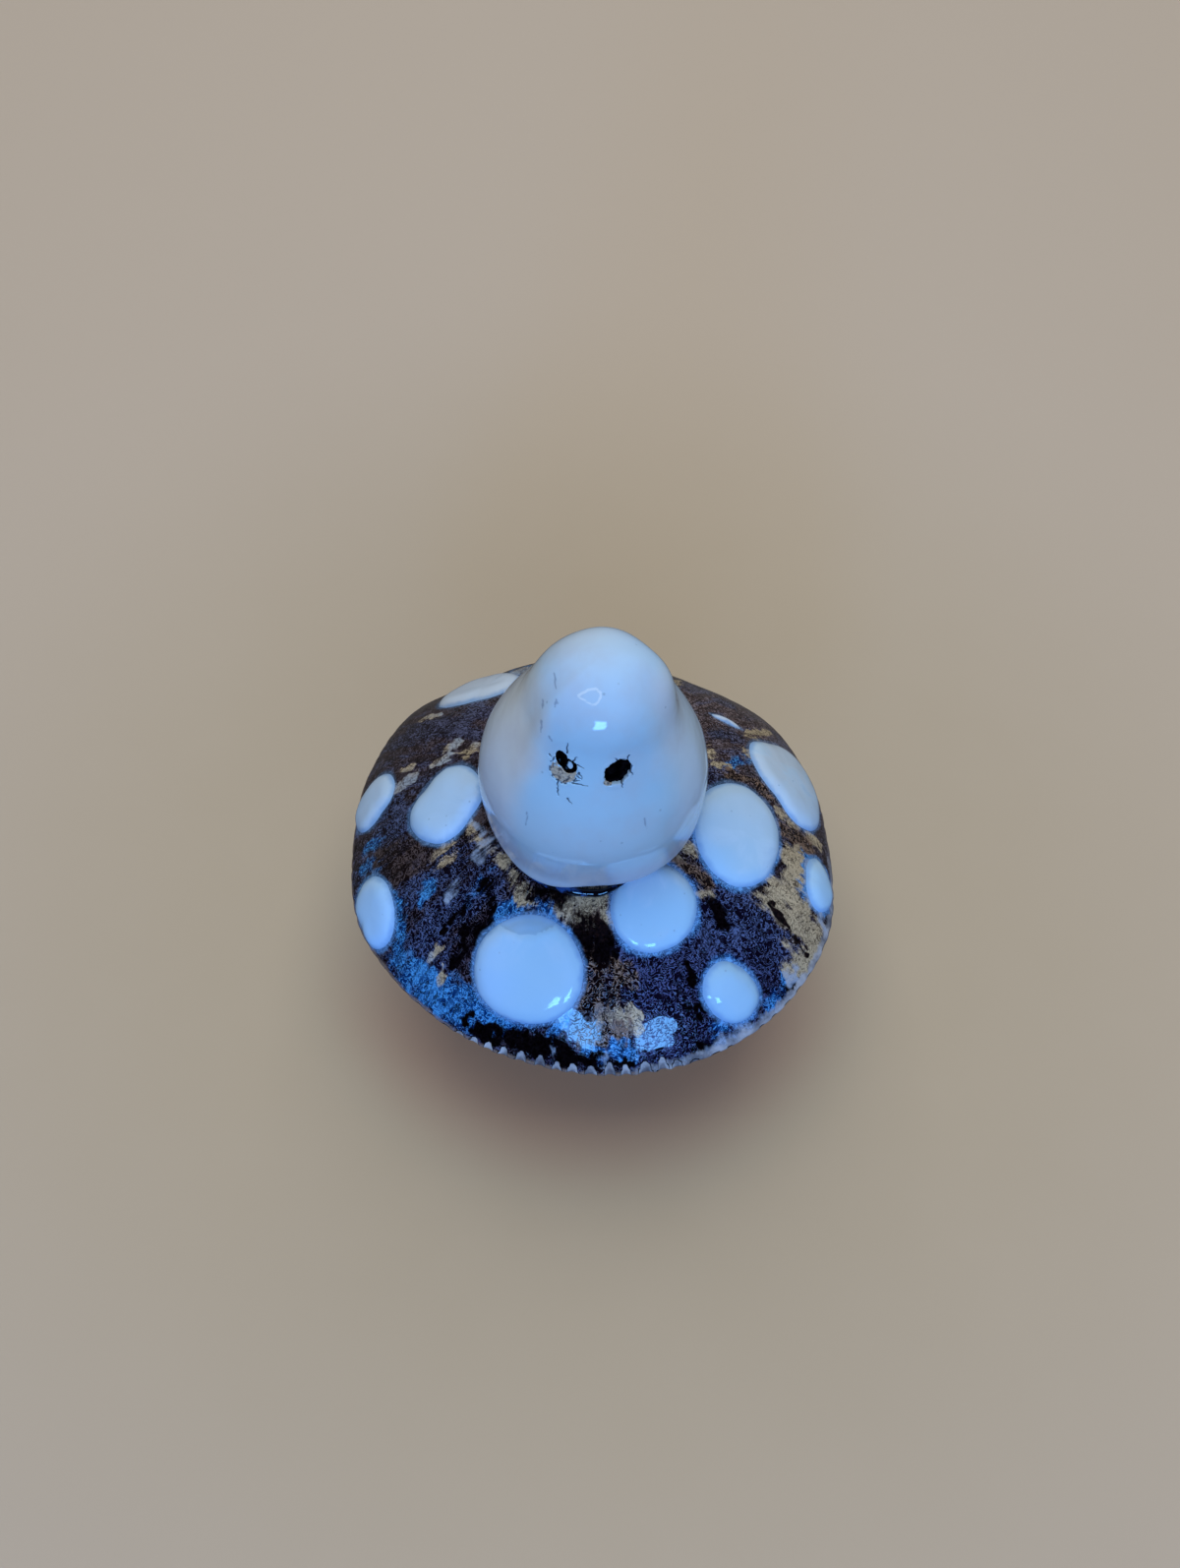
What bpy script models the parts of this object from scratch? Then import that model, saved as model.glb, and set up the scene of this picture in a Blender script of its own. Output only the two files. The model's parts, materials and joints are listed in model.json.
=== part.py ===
"""A small ghost sitting on a spotted mushroom: a hand-built, glazed ceramic figurine.

Metres, +Z up. The origin is the middle of the stem's foot, on the table. The ghost faces -Y.
Every piece is first made on a perfectly round cap and then takes the same slight hand-shaping,
so that all the fits keep their gaps.
"""
import functools
import math
from typing import NamedTuple

import bmesh
import bpy
from mathutils import Euler, Matrix, Vector
from mathutils.geometry import interpolate_bezier

MM = 0.001

# Air left between two pieces that touch, and how near two points count as one
SEAT_GAP = 0.3 * MM
SAME_PLACE = 0.01 * MM

# Mushroom cap: part of a sphere, hollow underneath, its gills notching the rim
CAP_DIAMETER = 76 * MM
CAP_RISE = 21 * MM
CAP_WALL = 5.5 * MM
CAP_OUT_OF_ROUND = 1 * MM
RIM_ABOVE_TABLE = 26 * MM
RIM_SOLE = 3 * MM
GILL_COUNT = 90
GILL_DEPTH = 1.5 * MM
GILL_RUN_OUT = 3 * MM
NOTCH_HEIGHT = 2.4 * MM
VENT_BORE = 4 * MM

# Stem: a waisted tube with a flared foot, its top seated under the cap
STEM_TOP_DIAMETER = 28 * MM
STEM_WAIST_DIAMETER = 25 * MM
STEM_FOOT_DIAMETER = 34 * MM
STEM_FOOT_EDGE = 1 * MM
STEM_BORE = 17 * MM

# Ghost: a hollow bell; its heights are taken from the cap's top
GHOST_HEIGHT = 36 * MM
GHOST_FOOT_DIAMETER = 26.6 * MM
GHOST_BELLY_DIAMETER = 32.2 * MM
GHOST_BELLY_HEIGHT = 8.8 * MM
GHOST_SHOULDER_DIAMETER = 18.8 * MM
GHOST_SHOULDER_HEIGHT = 27.7 * MM
GHOST_SHOULDER_SLOPE = 0.32
GHOST_WALL = 5 * MM
GHOST_FORWARD = 3.05 * MM
GHOST_TO_RIGHT = 0.25 * MM
GHOST_HEAD_LEAN = 1.5 * MM

# Bead of glaze round the ghost's foot
BEAD_THICKNESS = 1.4 * MM

# Eyes: black glaze lying in sockets pressed into the ghost's wall
EYE_SOCKET_DEPTH = 2.6 * MM
EYE_RECESS = 0.6 * MM

# Spots: thin crowned discs on the cap
SPOT_THICKNESS = 1.1 * MM
SPOT_EDGE_THICKNESS = 0.5 * MM
SPOT_RIM_MARGIN = 0.6 * MM

# Steps round each turned piece, and rings along the sections
CAP_STEPS = 2 * GILL_COUNT
DOME_RINGS = 6
GILL_RINGS = 4
CURVE_POINTS = 6
GHOST_STEPS = 40
STEM_STEPS = 40
SPOT_STEPS = 20
EYE_STEPS = 20
BEAD_SECTION_STEPS = 8
SHARP_EDGE = math.radians(40)

# Values that follow from the sizes above
CAP_RADIUS = CAP_DIAMETER / 2
DOME_RADIUS = (CAP_RADIUS**2 + CAP_RISE**2) / (2 * CAP_RISE)
CAP_TOP = RIM_ABOVE_TABLE + CAP_RISE
DOME_CENTRE = Vector((0, 0, CAP_TOP - DOME_RADIUS))
RIM_ANGLE = math.asin(CAP_RADIUS / DOME_RADIUS)
UNDERSIDE_RADIUS = DOME_RADIUS - CAP_WALL
UNDERSIDE_RIM_ANGLE = math.acos((RIM_ABOVE_TABLE - DOME_CENTRE.z) / UNDERSIDE_RADIUS)
GILL_START = STEM_TOP_DIAMETER / 2 + SEAT_GAP
GHOST_AXIS = Vector((GHOST_TO_RIGHT, -GHOST_FORWARD, 0))


class Eye(NamedTuple):
    """An oval eye: how far to the side and how high it lies, and its size and slant."""
    name: str
    side: float
    height: float
    width: float
    length: float
    slant: float


class Spot(NamedTuple):
    """A spot on the cap: its bearing from +X, its share of the way from top to rim, its size and twist."""
    name: str
    bearing: float
    way_down: float
    length: float
    width: float
    twist: float


EYES = (
    Eye("left_eye", side=-4.2 * MM, height=24.8 * MM, width=2.6 * MM, length=3.2 * MM, slant=-25),
    Eye("right_eye", side=2.65 * MM, height=24.8 * MM, width=2.5 * MM, length=3.5 * MM, slant=30),
)

SPOTS = (
    Spot("spot_back_left", 126, 0.786, 15.8 * MM, 12.8 * MM, 45),
    Spot("spot_left_rim", 171, 0.885, 9.7 * MM, 8.1 * MM, 70),
    Spot("spot_left", 179, 0.499, 13.5 * MM, 11.4 * MM, 60),
    Spot("spot_front_left_rim", -159, 0.879, 12.1 * MM, 8.9 * MM, 15),
    Spot("spot_front_left", -109, 0.658, 17.4 * MM, 16.1 * MM, 125),
    Spot("spot_front", -64, 0.486, 13.2 * MM, 11.2 * MM, 170),
    Spot("spot_front_right_rim", -52, 0.852, 11.7 * MM, 8.6 * MM, 65),
    Spot("spot_right", -13, 0.525, 17.2 * MM, 14.6 * MM, 155),
    Spot("spot_right_rim", -12, 0.931, 9.5 * MM, 7.2 * MM, 155),
    Spot("spot_back_right_rim", 15, 0.817, 17.5 * MM, 14.5 * MM, 135),
    Spot("spot_back_right_sliver", 38, 0.647, 6.1 * MM, 2.6 * MM, 140),
    Spot("spot_back_upper", 88, 0.6, 11 * MM, 10 * MM, 30),
    Spot("spot_back_rim", 91, 0.87, 10 * MM, 8 * MM, 0),
)


def clear_scene():
    for old in list(bpy.data.objects):
        bpy.data.objects.remove(old, do_unlink=True)


def glaze(name, colour, roughness):
    """A ceramic glaze with one colour and roughness."""
    material = bpy.data.materials.new(name + "_glaze")
    material.use_nodes = True
    shader = material.node_tree.nodes["Principled BSDF"]
    shader.inputs["Base Color"].default_value = (*colour, 1)
    shader.inputs["Roughness"].default_value = roughness
    shader.inputs["Metallic"].default_value = 0
    return material


def hand_shaped(point):
    """Squeeze the figure a little across one diagonal and stretch it across the other, most at the rim."""
    reach = math.hypot(point.x, point.y)
    bearing = math.atan2(point.y, point.x)
    squeeze = 1 - CAP_OUT_OF_ROUND * reach**2 / CAP_RADIUS**3 * math.sin(2 * bearing)
    return Vector((point.x * squeeze, point.y * squeeze, point.z))


def add_object(name, bm, colour, roughness):
    """Hand-shape a piece, turn its faces outward and put it in the scene."""
    for vert in bm.verts:
        vert.co = hand_shaped(vert.co)
    bmesh.ops.recalc_face_normals(bm, faces=bm.faces)
    mesh = bpy.data.meshes.new(name)
    bm.to_mesh(mesh)
    bm.free()
    mesh.shade_smooth()
    mesh.set_sharp_from_angle(angle=SHARP_EDGE)
    mesh.materials.append(glaze(name, colour, roughness))
    piece = bpy.data.objects.new(name, mesh)
    bpy.context.collection.objects.link(piece)
    return piece


def turned(profile, steps, closed):
    """Spin (radius, height) points round the Z axis; a closed profile makes a ring."""
    bm = bmesh.new()
    verts = [bm.verts.new((radius, 0, height)) for radius, height in profile]
    pairs = list(zip(verts, verts[1:]))
    if closed:
        pairs.append((verts[-1], verts[0]))
    edges = [bm.edges.new(pair) for pair in pairs]
    bmesh.ops.spin(bm, geom=verts + edges, cent=(0, 0, 0), axis=(0, 0, 1), dvec=(0, 0, 0),
                   angle=math.tau, steps=steps, use_merge=True, use_duplicate=False)
    bmesh.ops.remove_doubles(bm, verts=bm.verts, dist=SAME_PLACE / 2)
    return bm


def curve(start, start_pull, end_pull, end):
    """Points along a smooth curve through the XZ plane, as (radius, height)."""
    corners = [Vector((radius, 0, height)) for radius, height in (start, start_pull, end_pull, end)]
    return [(point.x, point.z) for point in interpolate_bezier(*corners, CURVE_POINTS)]


def sphere_point(radius, angle):
    """(radius, height) of the point at an angle from the top of a sphere about the dome's centre."""
    return radius * math.sin(angle), DOME_CENTRE.z + radius * math.cos(angle)


def cap_fall(x, y):
    """How far the dome has dropped from the cap's top, above a point of the table."""
    return DOME_RADIUS - math.sqrt(DOME_RADIUS**2 - x**2 - y**2)


def underside_height(radius):
    return DOME_CENTRE.z + math.sqrt(UNDERSIDE_RADIUS**2 - radius**2)


def cap_profile():
    """The cap's section: down the dome from the vent, across the rim's sole and up the underside."""
    vent_angle = math.asin(VENT_BORE / 2 / DOME_RADIUS)
    notch_top = RIM_ANGLE - (NOTCH_HEIGHT + SEAT_GAP) / DOME_RADIUS
    dome_step = (notch_top - vent_angle) / DOME_RINGS
    profile = [sphere_point(DOME_RADIUS, vent_angle + dome_step * ring) for ring in range(DOME_RINGS + 1)]
    profile.append((CAP_RADIUS, RIM_ABOVE_TABLE))
    profile.append((CAP_RADIUS - RIM_SOLE, RIM_ABOVE_TABLE))
    gill_step = (math.asin(GILL_START / UNDERSIDE_RADIUS) - UNDERSIDE_RIM_ANGLE) / GILL_RINGS
    gills = [UNDERSIDE_RIM_ANGLE + gill_step * ring for ring in range(GILL_RINGS + 1)]
    profile += [sphere_point(UNDERSIDE_RADIUS, angle) for angle in gills]
    profile.append((STEM_BORE / 2, underside_height(STEM_BORE / 2)))
    profile.append((VENT_BORE / 2, underside_height(VENT_BORE / 2)))
    return profile


def cut_gills(bm):
    """Raise every second meridian of the underside into a groove that breaks out through the rim."""
    notch_angle = RIM_ANGLE - NOTCH_HEIGHT / DOME_RADIUS
    notch_radius, notch_height = sphere_point(DOME_RADIUS, notch_angle)
    for vert in bm.verts:
        reach = math.hypot(vert.co.x, vert.co.y)
        step = round(math.atan2(vert.co.y, vert.co.x) / math.tau * CAP_STEPS)
        at_rim = reach > CAP_RADIUS - SAME_PLACE
        if step % 2 == 0 or reach < GILL_START + SAME_PLACE:
            continue
        if at_rim:
            vert.co.x *= notch_radius / reach
            vert.co.y *= notch_radius / reach
            vert.co.z = notch_height
        elif CAP_TOP - cap_fall(vert.co.x, vert.co.y) - vert.co.z > SAME_PLACE:
            run_in = min(1, (reach - GILL_START) / GILL_RUN_OUT)
            vert.co.z += GILL_DEPTH * run_in


def make_cap():
    bm = turned(cap_profile(), CAP_STEPS, closed=True)
    cut_gills(bm)
    add_object("mushroom_cap", bm, colour=(0.03, 0.02, 0.03), roughness=0.18)


def make_stem():
    top, bore = STEM_TOP_DIAMETER / 2, STEM_BORE / 2
    waist, foot = STEM_WAIST_DIAMETER / 2, STEM_FOOT_DIAMETER / 2
    height = underside_height(top) - SEAT_GAP
    middle = height / 2
    pull = middle / 2
    lower = curve((foot, STEM_FOOT_EDGE), (foot, pull / 2), (waist, middle - pull), (waist, middle))
    upper = curve((waist, middle), (waist, middle + pull), (top, height - pull), (top, height))
    seat_middle = (top + bore) / 2
    profile = [(bore, 0), (foot - STEM_FOOT_EDGE, 0)] + lower + upper[1:]
    profile.append((seat_middle, underside_height(seat_middle) - SEAT_GAP))
    profile.append((bore, underside_height(bore) - SEAT_GAP))
    bm = turned(profile, STEM_STEPS, closed=True)
    add_object("stem", bm, colour=(0.62, 0.6, 0.55), roughness=0.3)


def bell(inset):
    """The ghost's outline from foot to crown, as (radius, height over the cap); inset gives its hollow."""
    foot = (GHOST_FOOT_DIAMETER / 2 - inset, SEAT_GAP)
    belly = (GHOST_BELLY_DIAMETER / 2 - inset, GHOST_BELLY_HEIGHT)
    shoulder = (GHOST_SHOULDER_DIAMETER / 2 - inset, GHOST_SHOULDER_HEIGHT)
    crown = (0, GHOST_HEIGHT - inset)
    skirt, flank, head = belly[1] - foot[1], shoulder[1] - belly[1], crown[1] - shoulder[1]
    foot_pull = (foot[0] + 0.75 * (belly[0] - foot[0]), foot[1] + 0.12 * skirt)
    below_belly = (belly[0], belly[1] - 0.55 * skirt)
    above_belly = (belly[0], belly[1] + 0.4 * flank)
    length = math.hypot(GHOST_SHOULDER_SLOPE, 1)
    out, up = GHOST_SHOULDER_SLOPE / length, 1 / length
    below_shoulder = (shoulder[0] + 0.4 * flank * out, shoulder[1] - 0.4 * flank * up)
    above_shoulder = (shoulder[0] - 0.55 * head * out, shoulder[1] + 0.55 * head * up)
    crown_pull = (0.58 * shoulder[0], crown[1])
    outline = curve(foot, foot_pull, below_belly, belly)
    outline += curve(belly, above_belly, below_shoulder, shoulder)[1:]
    outline += curve(shoulder, above_shoulder, crown_pull, crown)[1:]
    return outline


def seated(point):
    """Move a point from the bell's upright frame onto the cap: its foot follows the dome, its head leans."""
    x, y, height = point
    rise = (height - GHOST_BELLY_HEIGHT) / (GHOST_HEIGHT - GHOST_BELLY_HEIGHT)
    lean = GHOST_HEAD_LEAN * max(0, rise)**2
    x += GHOST_AXIS.x
    y += GHOST_AXIS.y
    start = BEAD_THICKNESS + 2 * SEAT_GAP
    share = max(0, min(1, (height - start) / (GHOST_BELLY_HEIGHT - start)))
    follow = 1 - share**2 * (3 - 2 * share)
    return Vector((x + lean, y, CAP_TOP + height - follow * cap_fall(x, y)))


def face_place(eye):
    """A frame on the ghost's face at an eye: X to the right, Z straight out of the face."""
    outline = bell(0)
    pairs = list(zip(outline, outline[1:]))
    below, above = next(pair for pair in pairs if pair[1][1] >= eye.height)
    share = (eye.height - below[1]) / (above[1] - below[1])
    radius = below[0] + share * (above[0] - below[0])
    turn = math.asin(eye.side / radius)
    lift = math.atan2(below[0] - above[0], above[1] - below[1])
    place = seated((radius * math.sin(turn), -radius * math.cos(turn), eye.height))
    upright = Euler((math.pi / 2 - lift, 0, 0)).to_matrix().to_4x4()
    slanted = Matrix.Rotation(math.radians(eye.slant), 4, "Z").inverted()
    return Matrix.Translation(place) @ Matrix.Rotation(turn, 4, "Z") @ upright @ slanted


def oval_plug(eye, margin, bottom, top):
    """An upright oval plug round an eye's axis, grown sideways by a margin."""
    bm = bmesh.new()
    bmesh.ops.create_cone(bm, cap_ends=True, segments=EYE_STEPS, radius1=1, radius2=1, depth=1)
    bmesh.ops.scale(bm, vec=(eye.width / 2 + margin, eye.length / 2 + margin, top - bottom), verts=bm.verts)
    bmesh.ops.translate(bm, vec=(0, 0, (top + bottom) / 2), verts=bm.verts)
    bmesh.ops.transform(bm, matrix=face_place(eye), verts=bm.verts)
    return bm


def make_ghost():
    inner = bell(GHOST_WALL)
    profile = inner[::-1] + bell(0)
    bm = turned(profile, GHOST_STEPS, closed=False)
    for vert in bm.verts:
        vert.co = seated(vert.co)
    ghost = add_object("ghost_body", bm, colour=(0.58, 0.68, 0.82), roughness=0.12)
    for eye in EYES:
        bm = oval_plug(eye, SEAT_GAP, -EYE_SOCKET_DEPTH, EYE_SOCKET_DEPTH)
        cutter = add_object(eye.name + "_socket_cutter", bm, colour=(0.5, 0.5, 0.5), roughness=0.5)
        cutter.hide_render = True
        cutter.display_type = "WIRE"
        cut = ghost.modifiers.new(eye.name + "_socket", "BOOLEAN")
        cut.operation = "DIFFERENCE"
        cut.solver = "EXACT"
        cut.object = cutter


def make_eyes():
    for eye in EYES:
        bm = oval_plug(eye, 0, SEAT_GAP - EYE_SOCKET_DEPTH, -EYE_RECESS)
        add_object(eye.name, bm, colour=(0.006, 0.005, 0.006), roughness=0.1)


@functools.cache
def bead_ring_radius():
    """The smallest ring that lies on the cap and clears the ghost's flank by the seat gap."""
    clearance = BEAD_THICKNESS / 2 + SEAT_GAP
    reaches = []
    for radius, height in bell(0):
        across = clearance**2 - (height - clearance)**2
        if across >= 0:
            reaches.append(radius + math.sqrt(across))
    return max(reaches)


def make_bead():
    ring, half = bead_ring_radius(), BEAD_THICKNESS / 2
    profile = []
    for step in range(BEAD_SECTION_STEPS):
        angle = math.tau * (step + 0.5) / BEAD_SECTION_STEPS
        profile.append((ring + half * math.cos(angle), SEAT_GAP + half + half * math.sin(angle)))
    bm = turned(profile, GHOST_STEPS, closed=True)
    for vert in bm.verts:
        vert.co = seated(vert.co)
    add_object("ghost_foot_bead", bm, colour=(0.05, 0.1, 0.2), roughness=0.08)


def spot_frame(spot):
    """Turns from a spot's own frame (X down the dome, Z out of it) to the figure's."""
    tilt = Matrix.Rotation(spot.way_down * RIM_ANGLE, 3, "Y")
    return Matrix.Rotation(math.radians(spot.bearing), 3, "Z") @ tilt


def spot_direction(spot, distance, angle):
    """The direction from the dome's centre to a point of a spot, at a distance and angle about its middle."""
    tilt = distance / DOME_RADIUS
    local = Vector((math.sin(tilt) * math.cos(angle), math.sin(tilt) * math.sin(angle), math.cos(tilt)))
    return spot_frame(spot) @ local


def oval_reach(spot, angle):
    """How far a spot's oval reaches from its middle, its long side turned by the twist."""
    from_long_side = angle - math.radians(90 - spot.twist)
    along = math.cos(from_long_side) / (spot.length / 2)
    across = math.sin(from_long_side) / (spot.width / 2)
    return 1 / math.hypot(along, across)


def share_out(spot, direction):
    """How far out from a spot's middle a direction lies: 1 is the edge of its oval."""
    local = spot_frame(spot).inverted() @ direction
    distance = DOME_RADIUS * math.acos(min(1, local.z))
    return distance / oval_reach(spot, math.atan2(local.y, local.x))


def has_room(spot, direction):
    """Whether a spot may cover a point of the dome, clear of the rim's edge, the bead and other spots."""
    point = DOME_CENTRE + direction * DOME_RADIUS
    off_rim = math.acos(direction.z) < RIM_ANGLE - SPOT_RIM_MARGIN / DOME_RADIUS
    from_ghost = math.hypot(point.x - GHOST_AXIS.x, point.y - GHOST_AXIS.y)
    off_bead = from_ghost > bead_ring_radius() + BEAD_THICKNESS / 2 + SEAT_GAP
    own_share = share_out(spot, direction)
    others = [other for other in SPOTS if other.name != spot.name]
    off_others = all(share_out(other, direction) - own_share > 2 * SEAT_GAP / other.width for other in others)
    return off_rim and off_bead and off_others


def spot_edge(spot, angle):
    """How far a spot reaches from its middle at an angle: its oval, cut back where there is no room."""
    reach = oval_reach(spot, angle)
    if has_room(spot, spot_direction(spot, reach, angle)):
        return reach
    room, no_room = 0, reach
    while no_room - room > SAME_PLACE:
        middle = (room + no_room) / 2
        if has_room(spot, spot_direction(spot, middle, angle)):
            room = middle
        else:
            no_room = middle
    return room


def make_spot(spot):
    """A crowned disc, turned flat at unit radius and then bent over the dome."""
    crown_height = SPOT_THICKNESS - SPOT_EDGE_THICKNESS
    crown = [(0, 1), (0.55, 0.95), (0.85, 0.5), (1, 0)]
    profile = [(share, SEAT_GAP + SPOT_EDGE_THICKNESS + crown_height * height) for share, height in crown]
    profile += [(1, SEAT_GAP), (0.5, SEAT_GAP), (0, SEAT_GAP)]
    bm = turned(profile, SPOT_STEPS, closed=False)
    for vert in bm.verts:
        angle = math.atan2(vert.co.y, vert.co.x)
        distance = math.hypot(vert.co.x, vert.co.y) * spot_edge(spot, angle)
        direction = spot_direction(spot, distance, angle)
        vert.co = DOME_CENTRE + direction * (DOME_RADIUS + vert.co.z)
    add_object(spot.name, bm, colour=(0.5, 0.66, 0.88), roughness=0.15)


def main():
    clear_scene()
    make_cap()
    make_stem()
    make_ghost()
    make_eyes()
    make_bead()
    for spot in SPOTS:
        make_spot(spot)


main()
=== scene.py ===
"""The looks of a small ghost on a spotted mushroom: glazed, hand-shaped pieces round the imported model."""

import functools
import json
import math
import random

import bmesh
import bpy
import numpy as np
from mathutils import Euler, Matrix, Vector, noise
from mathutils.geometry import interpolate_bezier

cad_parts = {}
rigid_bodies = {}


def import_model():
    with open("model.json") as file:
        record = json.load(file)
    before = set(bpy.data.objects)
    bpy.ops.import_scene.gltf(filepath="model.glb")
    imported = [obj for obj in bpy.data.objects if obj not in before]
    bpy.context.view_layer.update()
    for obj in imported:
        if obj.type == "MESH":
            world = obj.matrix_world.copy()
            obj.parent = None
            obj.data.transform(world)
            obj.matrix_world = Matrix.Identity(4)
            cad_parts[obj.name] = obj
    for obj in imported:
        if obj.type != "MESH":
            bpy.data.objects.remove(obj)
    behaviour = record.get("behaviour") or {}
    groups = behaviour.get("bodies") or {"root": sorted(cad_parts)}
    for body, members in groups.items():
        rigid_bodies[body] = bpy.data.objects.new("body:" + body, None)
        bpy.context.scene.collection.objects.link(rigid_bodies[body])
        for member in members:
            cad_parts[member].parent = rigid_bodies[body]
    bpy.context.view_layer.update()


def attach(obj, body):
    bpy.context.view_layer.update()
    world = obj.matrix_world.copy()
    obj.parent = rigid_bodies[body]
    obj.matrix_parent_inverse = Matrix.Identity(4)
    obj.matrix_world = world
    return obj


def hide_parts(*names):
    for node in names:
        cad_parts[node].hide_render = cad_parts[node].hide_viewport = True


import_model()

MM = 0.001

# The camera, in the figure's own frame
PHOTO_WIDTH, PHOTO_HEIGHT = 1200, 1594
CAMERA_PLACE = Vector((-0.14, -117.6, 244.8)) * MM
CAMERA_TILT = math.radians(30.6)
FOCAL_LENGTH_PIXELS = 1600
SENSOR_LONG_SIDE = 36

# The cap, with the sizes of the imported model
CAP_RADIUS = 38 * MM
CAP_RISE = 21 * MM
CAP_WALL = 5.5 * MM
CAP_OUT_OF_ROUND = 1 * MM
RIM_ABOVE_TABLE = 26 * MM
RIM_ROUNDING = 0.45 * MM
GILL_COUNT = 90
GILL_DEPTH = 1.5 * MM
GILL_RUN_OUT = 3 * MM
GILL_WANDER = 0.3
NOTCH_HEIGHT = 3.4 * MM
NOTCH_SLOPE = 0.13
NOTCH_STEP = 0.1 * MM
NOTCH_ROOF = 0.3 * MM
VENT_BORE = 4 * MM
CAP_LUMPS = 0.22 * MM

# The stem
STEM_TOP_RADIUS = 14 * MM
STEM_WAIST_RADIUS = 12.5 * MM
STEM_FOOT_RADIUS = 17 * MM
STEM_FOOT_EDGE = 1 * MM
STEM_BORE = 17 * MM
STEM_BORE_EDGE = 0.4 * MM

# The ghost; its heights are taken from the cap's top
GHOST_HEIGHT = 36 * MM
GHOST_FOOT_RADIUS = 13.3 * MM
GHOST_BELLY_RADIUS = 16.1 * MM
GHOST_BELLY_HEIGHT = 8.8 * MM
GHOST_SHOULDER_RADIUS = 9.4 * MM
GHOST_SHOULDER_HEIGHT = 27.7 * MM
GHOST_SHOULDER_SLOPE = 0.32
GHOST_WALL = 5 * MM
GHOST_AXIS = Vector((0.25, -3.05, 0)) * MM
GHOST_HEAD_LEAN = 1.3 * MM
FACE_HEIGHT = 24.8 * MM
BEAD_THICKNESS = 1.4 * MM
SEAT_GAP = 0.3 * MM

# The spots
SPOT_THICKNESS = 0.85 * MM
SPOT_EDGE_ROUNDING = 2.8 * MM
SPOT_UNDERLAP = 0.1 * MM
# How wide the halo round a spot is, and from where no spot is near any more, in mm over the dome
HALO_WIDTH = 1.8
SPOT_FAR_AWAY = 16.0

# Where the noise that makes the strokes waver starts; left unset, it would start from the clock
WAVER_SEED = 4

# How finely the pieces are made
COARSE_TOP = 12 * MM
FINE_RIM = 3 * MM
CAP_STEPS = 8 * GILL_COUNT
GHOST_STEPS = 288
STEM_STEPS = 160
SPOT_STEPS = 96
EYE_STEPS = 48
SAME_PLACE = 0.001 * MM

# The table top
FLOOR_RADIUS = 3

# Values that follow from the sizes above
DOME_RADIUS = (CAP_RADIUS**2 + CAP_RISE**2) / (2 * CAP_RISE)
CAP_TOP = RIM_ABOVE_TABLE + CAP_RISE
DOME_CENTRE = Vector((0, 0, CAP_TOP - DOME_RADIUS))
RIM_ANGLE = math.asin(CAP_RADIUS / DOME_RADIUS)
UNDERSIDE_RADIUS = DOME_RADIUS - CAP_WALL
UNDERSIDE_RIM_ANGLE = math.acos((RIM_ABOVE_TABLE - DOME_CENTRE.z) / UNDERSIDE_RADIUS)
GILL_START = STEM_TOP_RADIUS + SEAT_GAP

# How far the rim swells out or draws in, every 20 degrees of bearing from -180; mostly worked out by a
# program from rim pixels read off the photograph
RIM_SWELL = [swell * MM for swell in (
    -0.4, 0.8, 0.1, -0.3, -0.5, -0.2, 0.1, 0.5, 0.6,
    -0.4, 0.2, 0.5, -1.7, -1.6, -1.8, -1.9, -0.1, -0.2)]
# Each spot's bearing, share of the way down the dome, and reach in mm towards eight or sixteen sides,
# starting down the dome and going towards greater bearings. The seen ones were traced in the photograph
# by a program, and some of their numbers changed
SPOTS = {
    "spot_back_left": (126.6, 0.687, (9.0, 8.6, 5.1, 3.7, 4.6, 6.0, 6.4, 7.4)),
    "spot_left_rim": (171, 0.853, (6.7, 5.8, 4.2, 3.6, 4.6, 4.9, 5.3, 5.4)),
    "spot_left": (-178, 0.494, (7.4, 6.7, 6.3, 5.3, 6.1, 6.5, 6.8, 5.9)),
    "spot_front_left_rim": (-158, 0.893, (4.2, 5.7, 5.3, 4.7, 4.8, 5.5, 6.0, 5.5)),
    "spot_front_left": (-109, 0.672, (8.1, 8.1, 8.2, 8.5, 8.9, 8.5, 8.5, 8.8)),
    "spot_front": (-64.6, 0.482, (5.4, 5.9, 6.8, 7.4, 8.0, 6.7, 6.2, 5.9)),
    "spot_front_right_rim": (-53.3, 0.826, (5.1, 5.1, 4.0, 4.2, 5.3, 4.8, 4.0, 4.2)),
    "spot_right": (-15.4, 0.524, (7.0, 8.7, 9.2, 8.5, 7.7, 7.7, 7.8, 7.2)),
    "spot_right_rim": (-13.8, 0.893, (4.2, 4.0, 4.5, 3.9, 3.3, 3.7, 4.1, 4.0)),
    "spot_back_right_rim": (13.6, 0.769, (9.6, 9.9, 8.1, 8.3, 6.5, 5.5, 7.6, 9.3)),
    "spot_back_right_sliver": (37, 0.63, 2 * (0.95, 0.75, 0.7, 0.75, 0.95, 1.6, 2.9, 1.6)),
    "spot_back_upper": (88, 0.6, (5.5, 5.2, 5.0, 5.3, 5.5, 5.1, 5.0, 5.4)),
    "spot_back_rim": (91, 0.87, (4.0, 4.6, 5.0, 4.3, 4.1, 4.5, 5.0, 4.4)),
}

# Where the white lies thin: a round patch in a spot's own frame, by its middle x, y and radius in mm
THIN_GLAZE = {"spot_front_left": (-11.9, -3.6, 6.8)}
NOT_THIN = (40, 0, 0)
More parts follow.
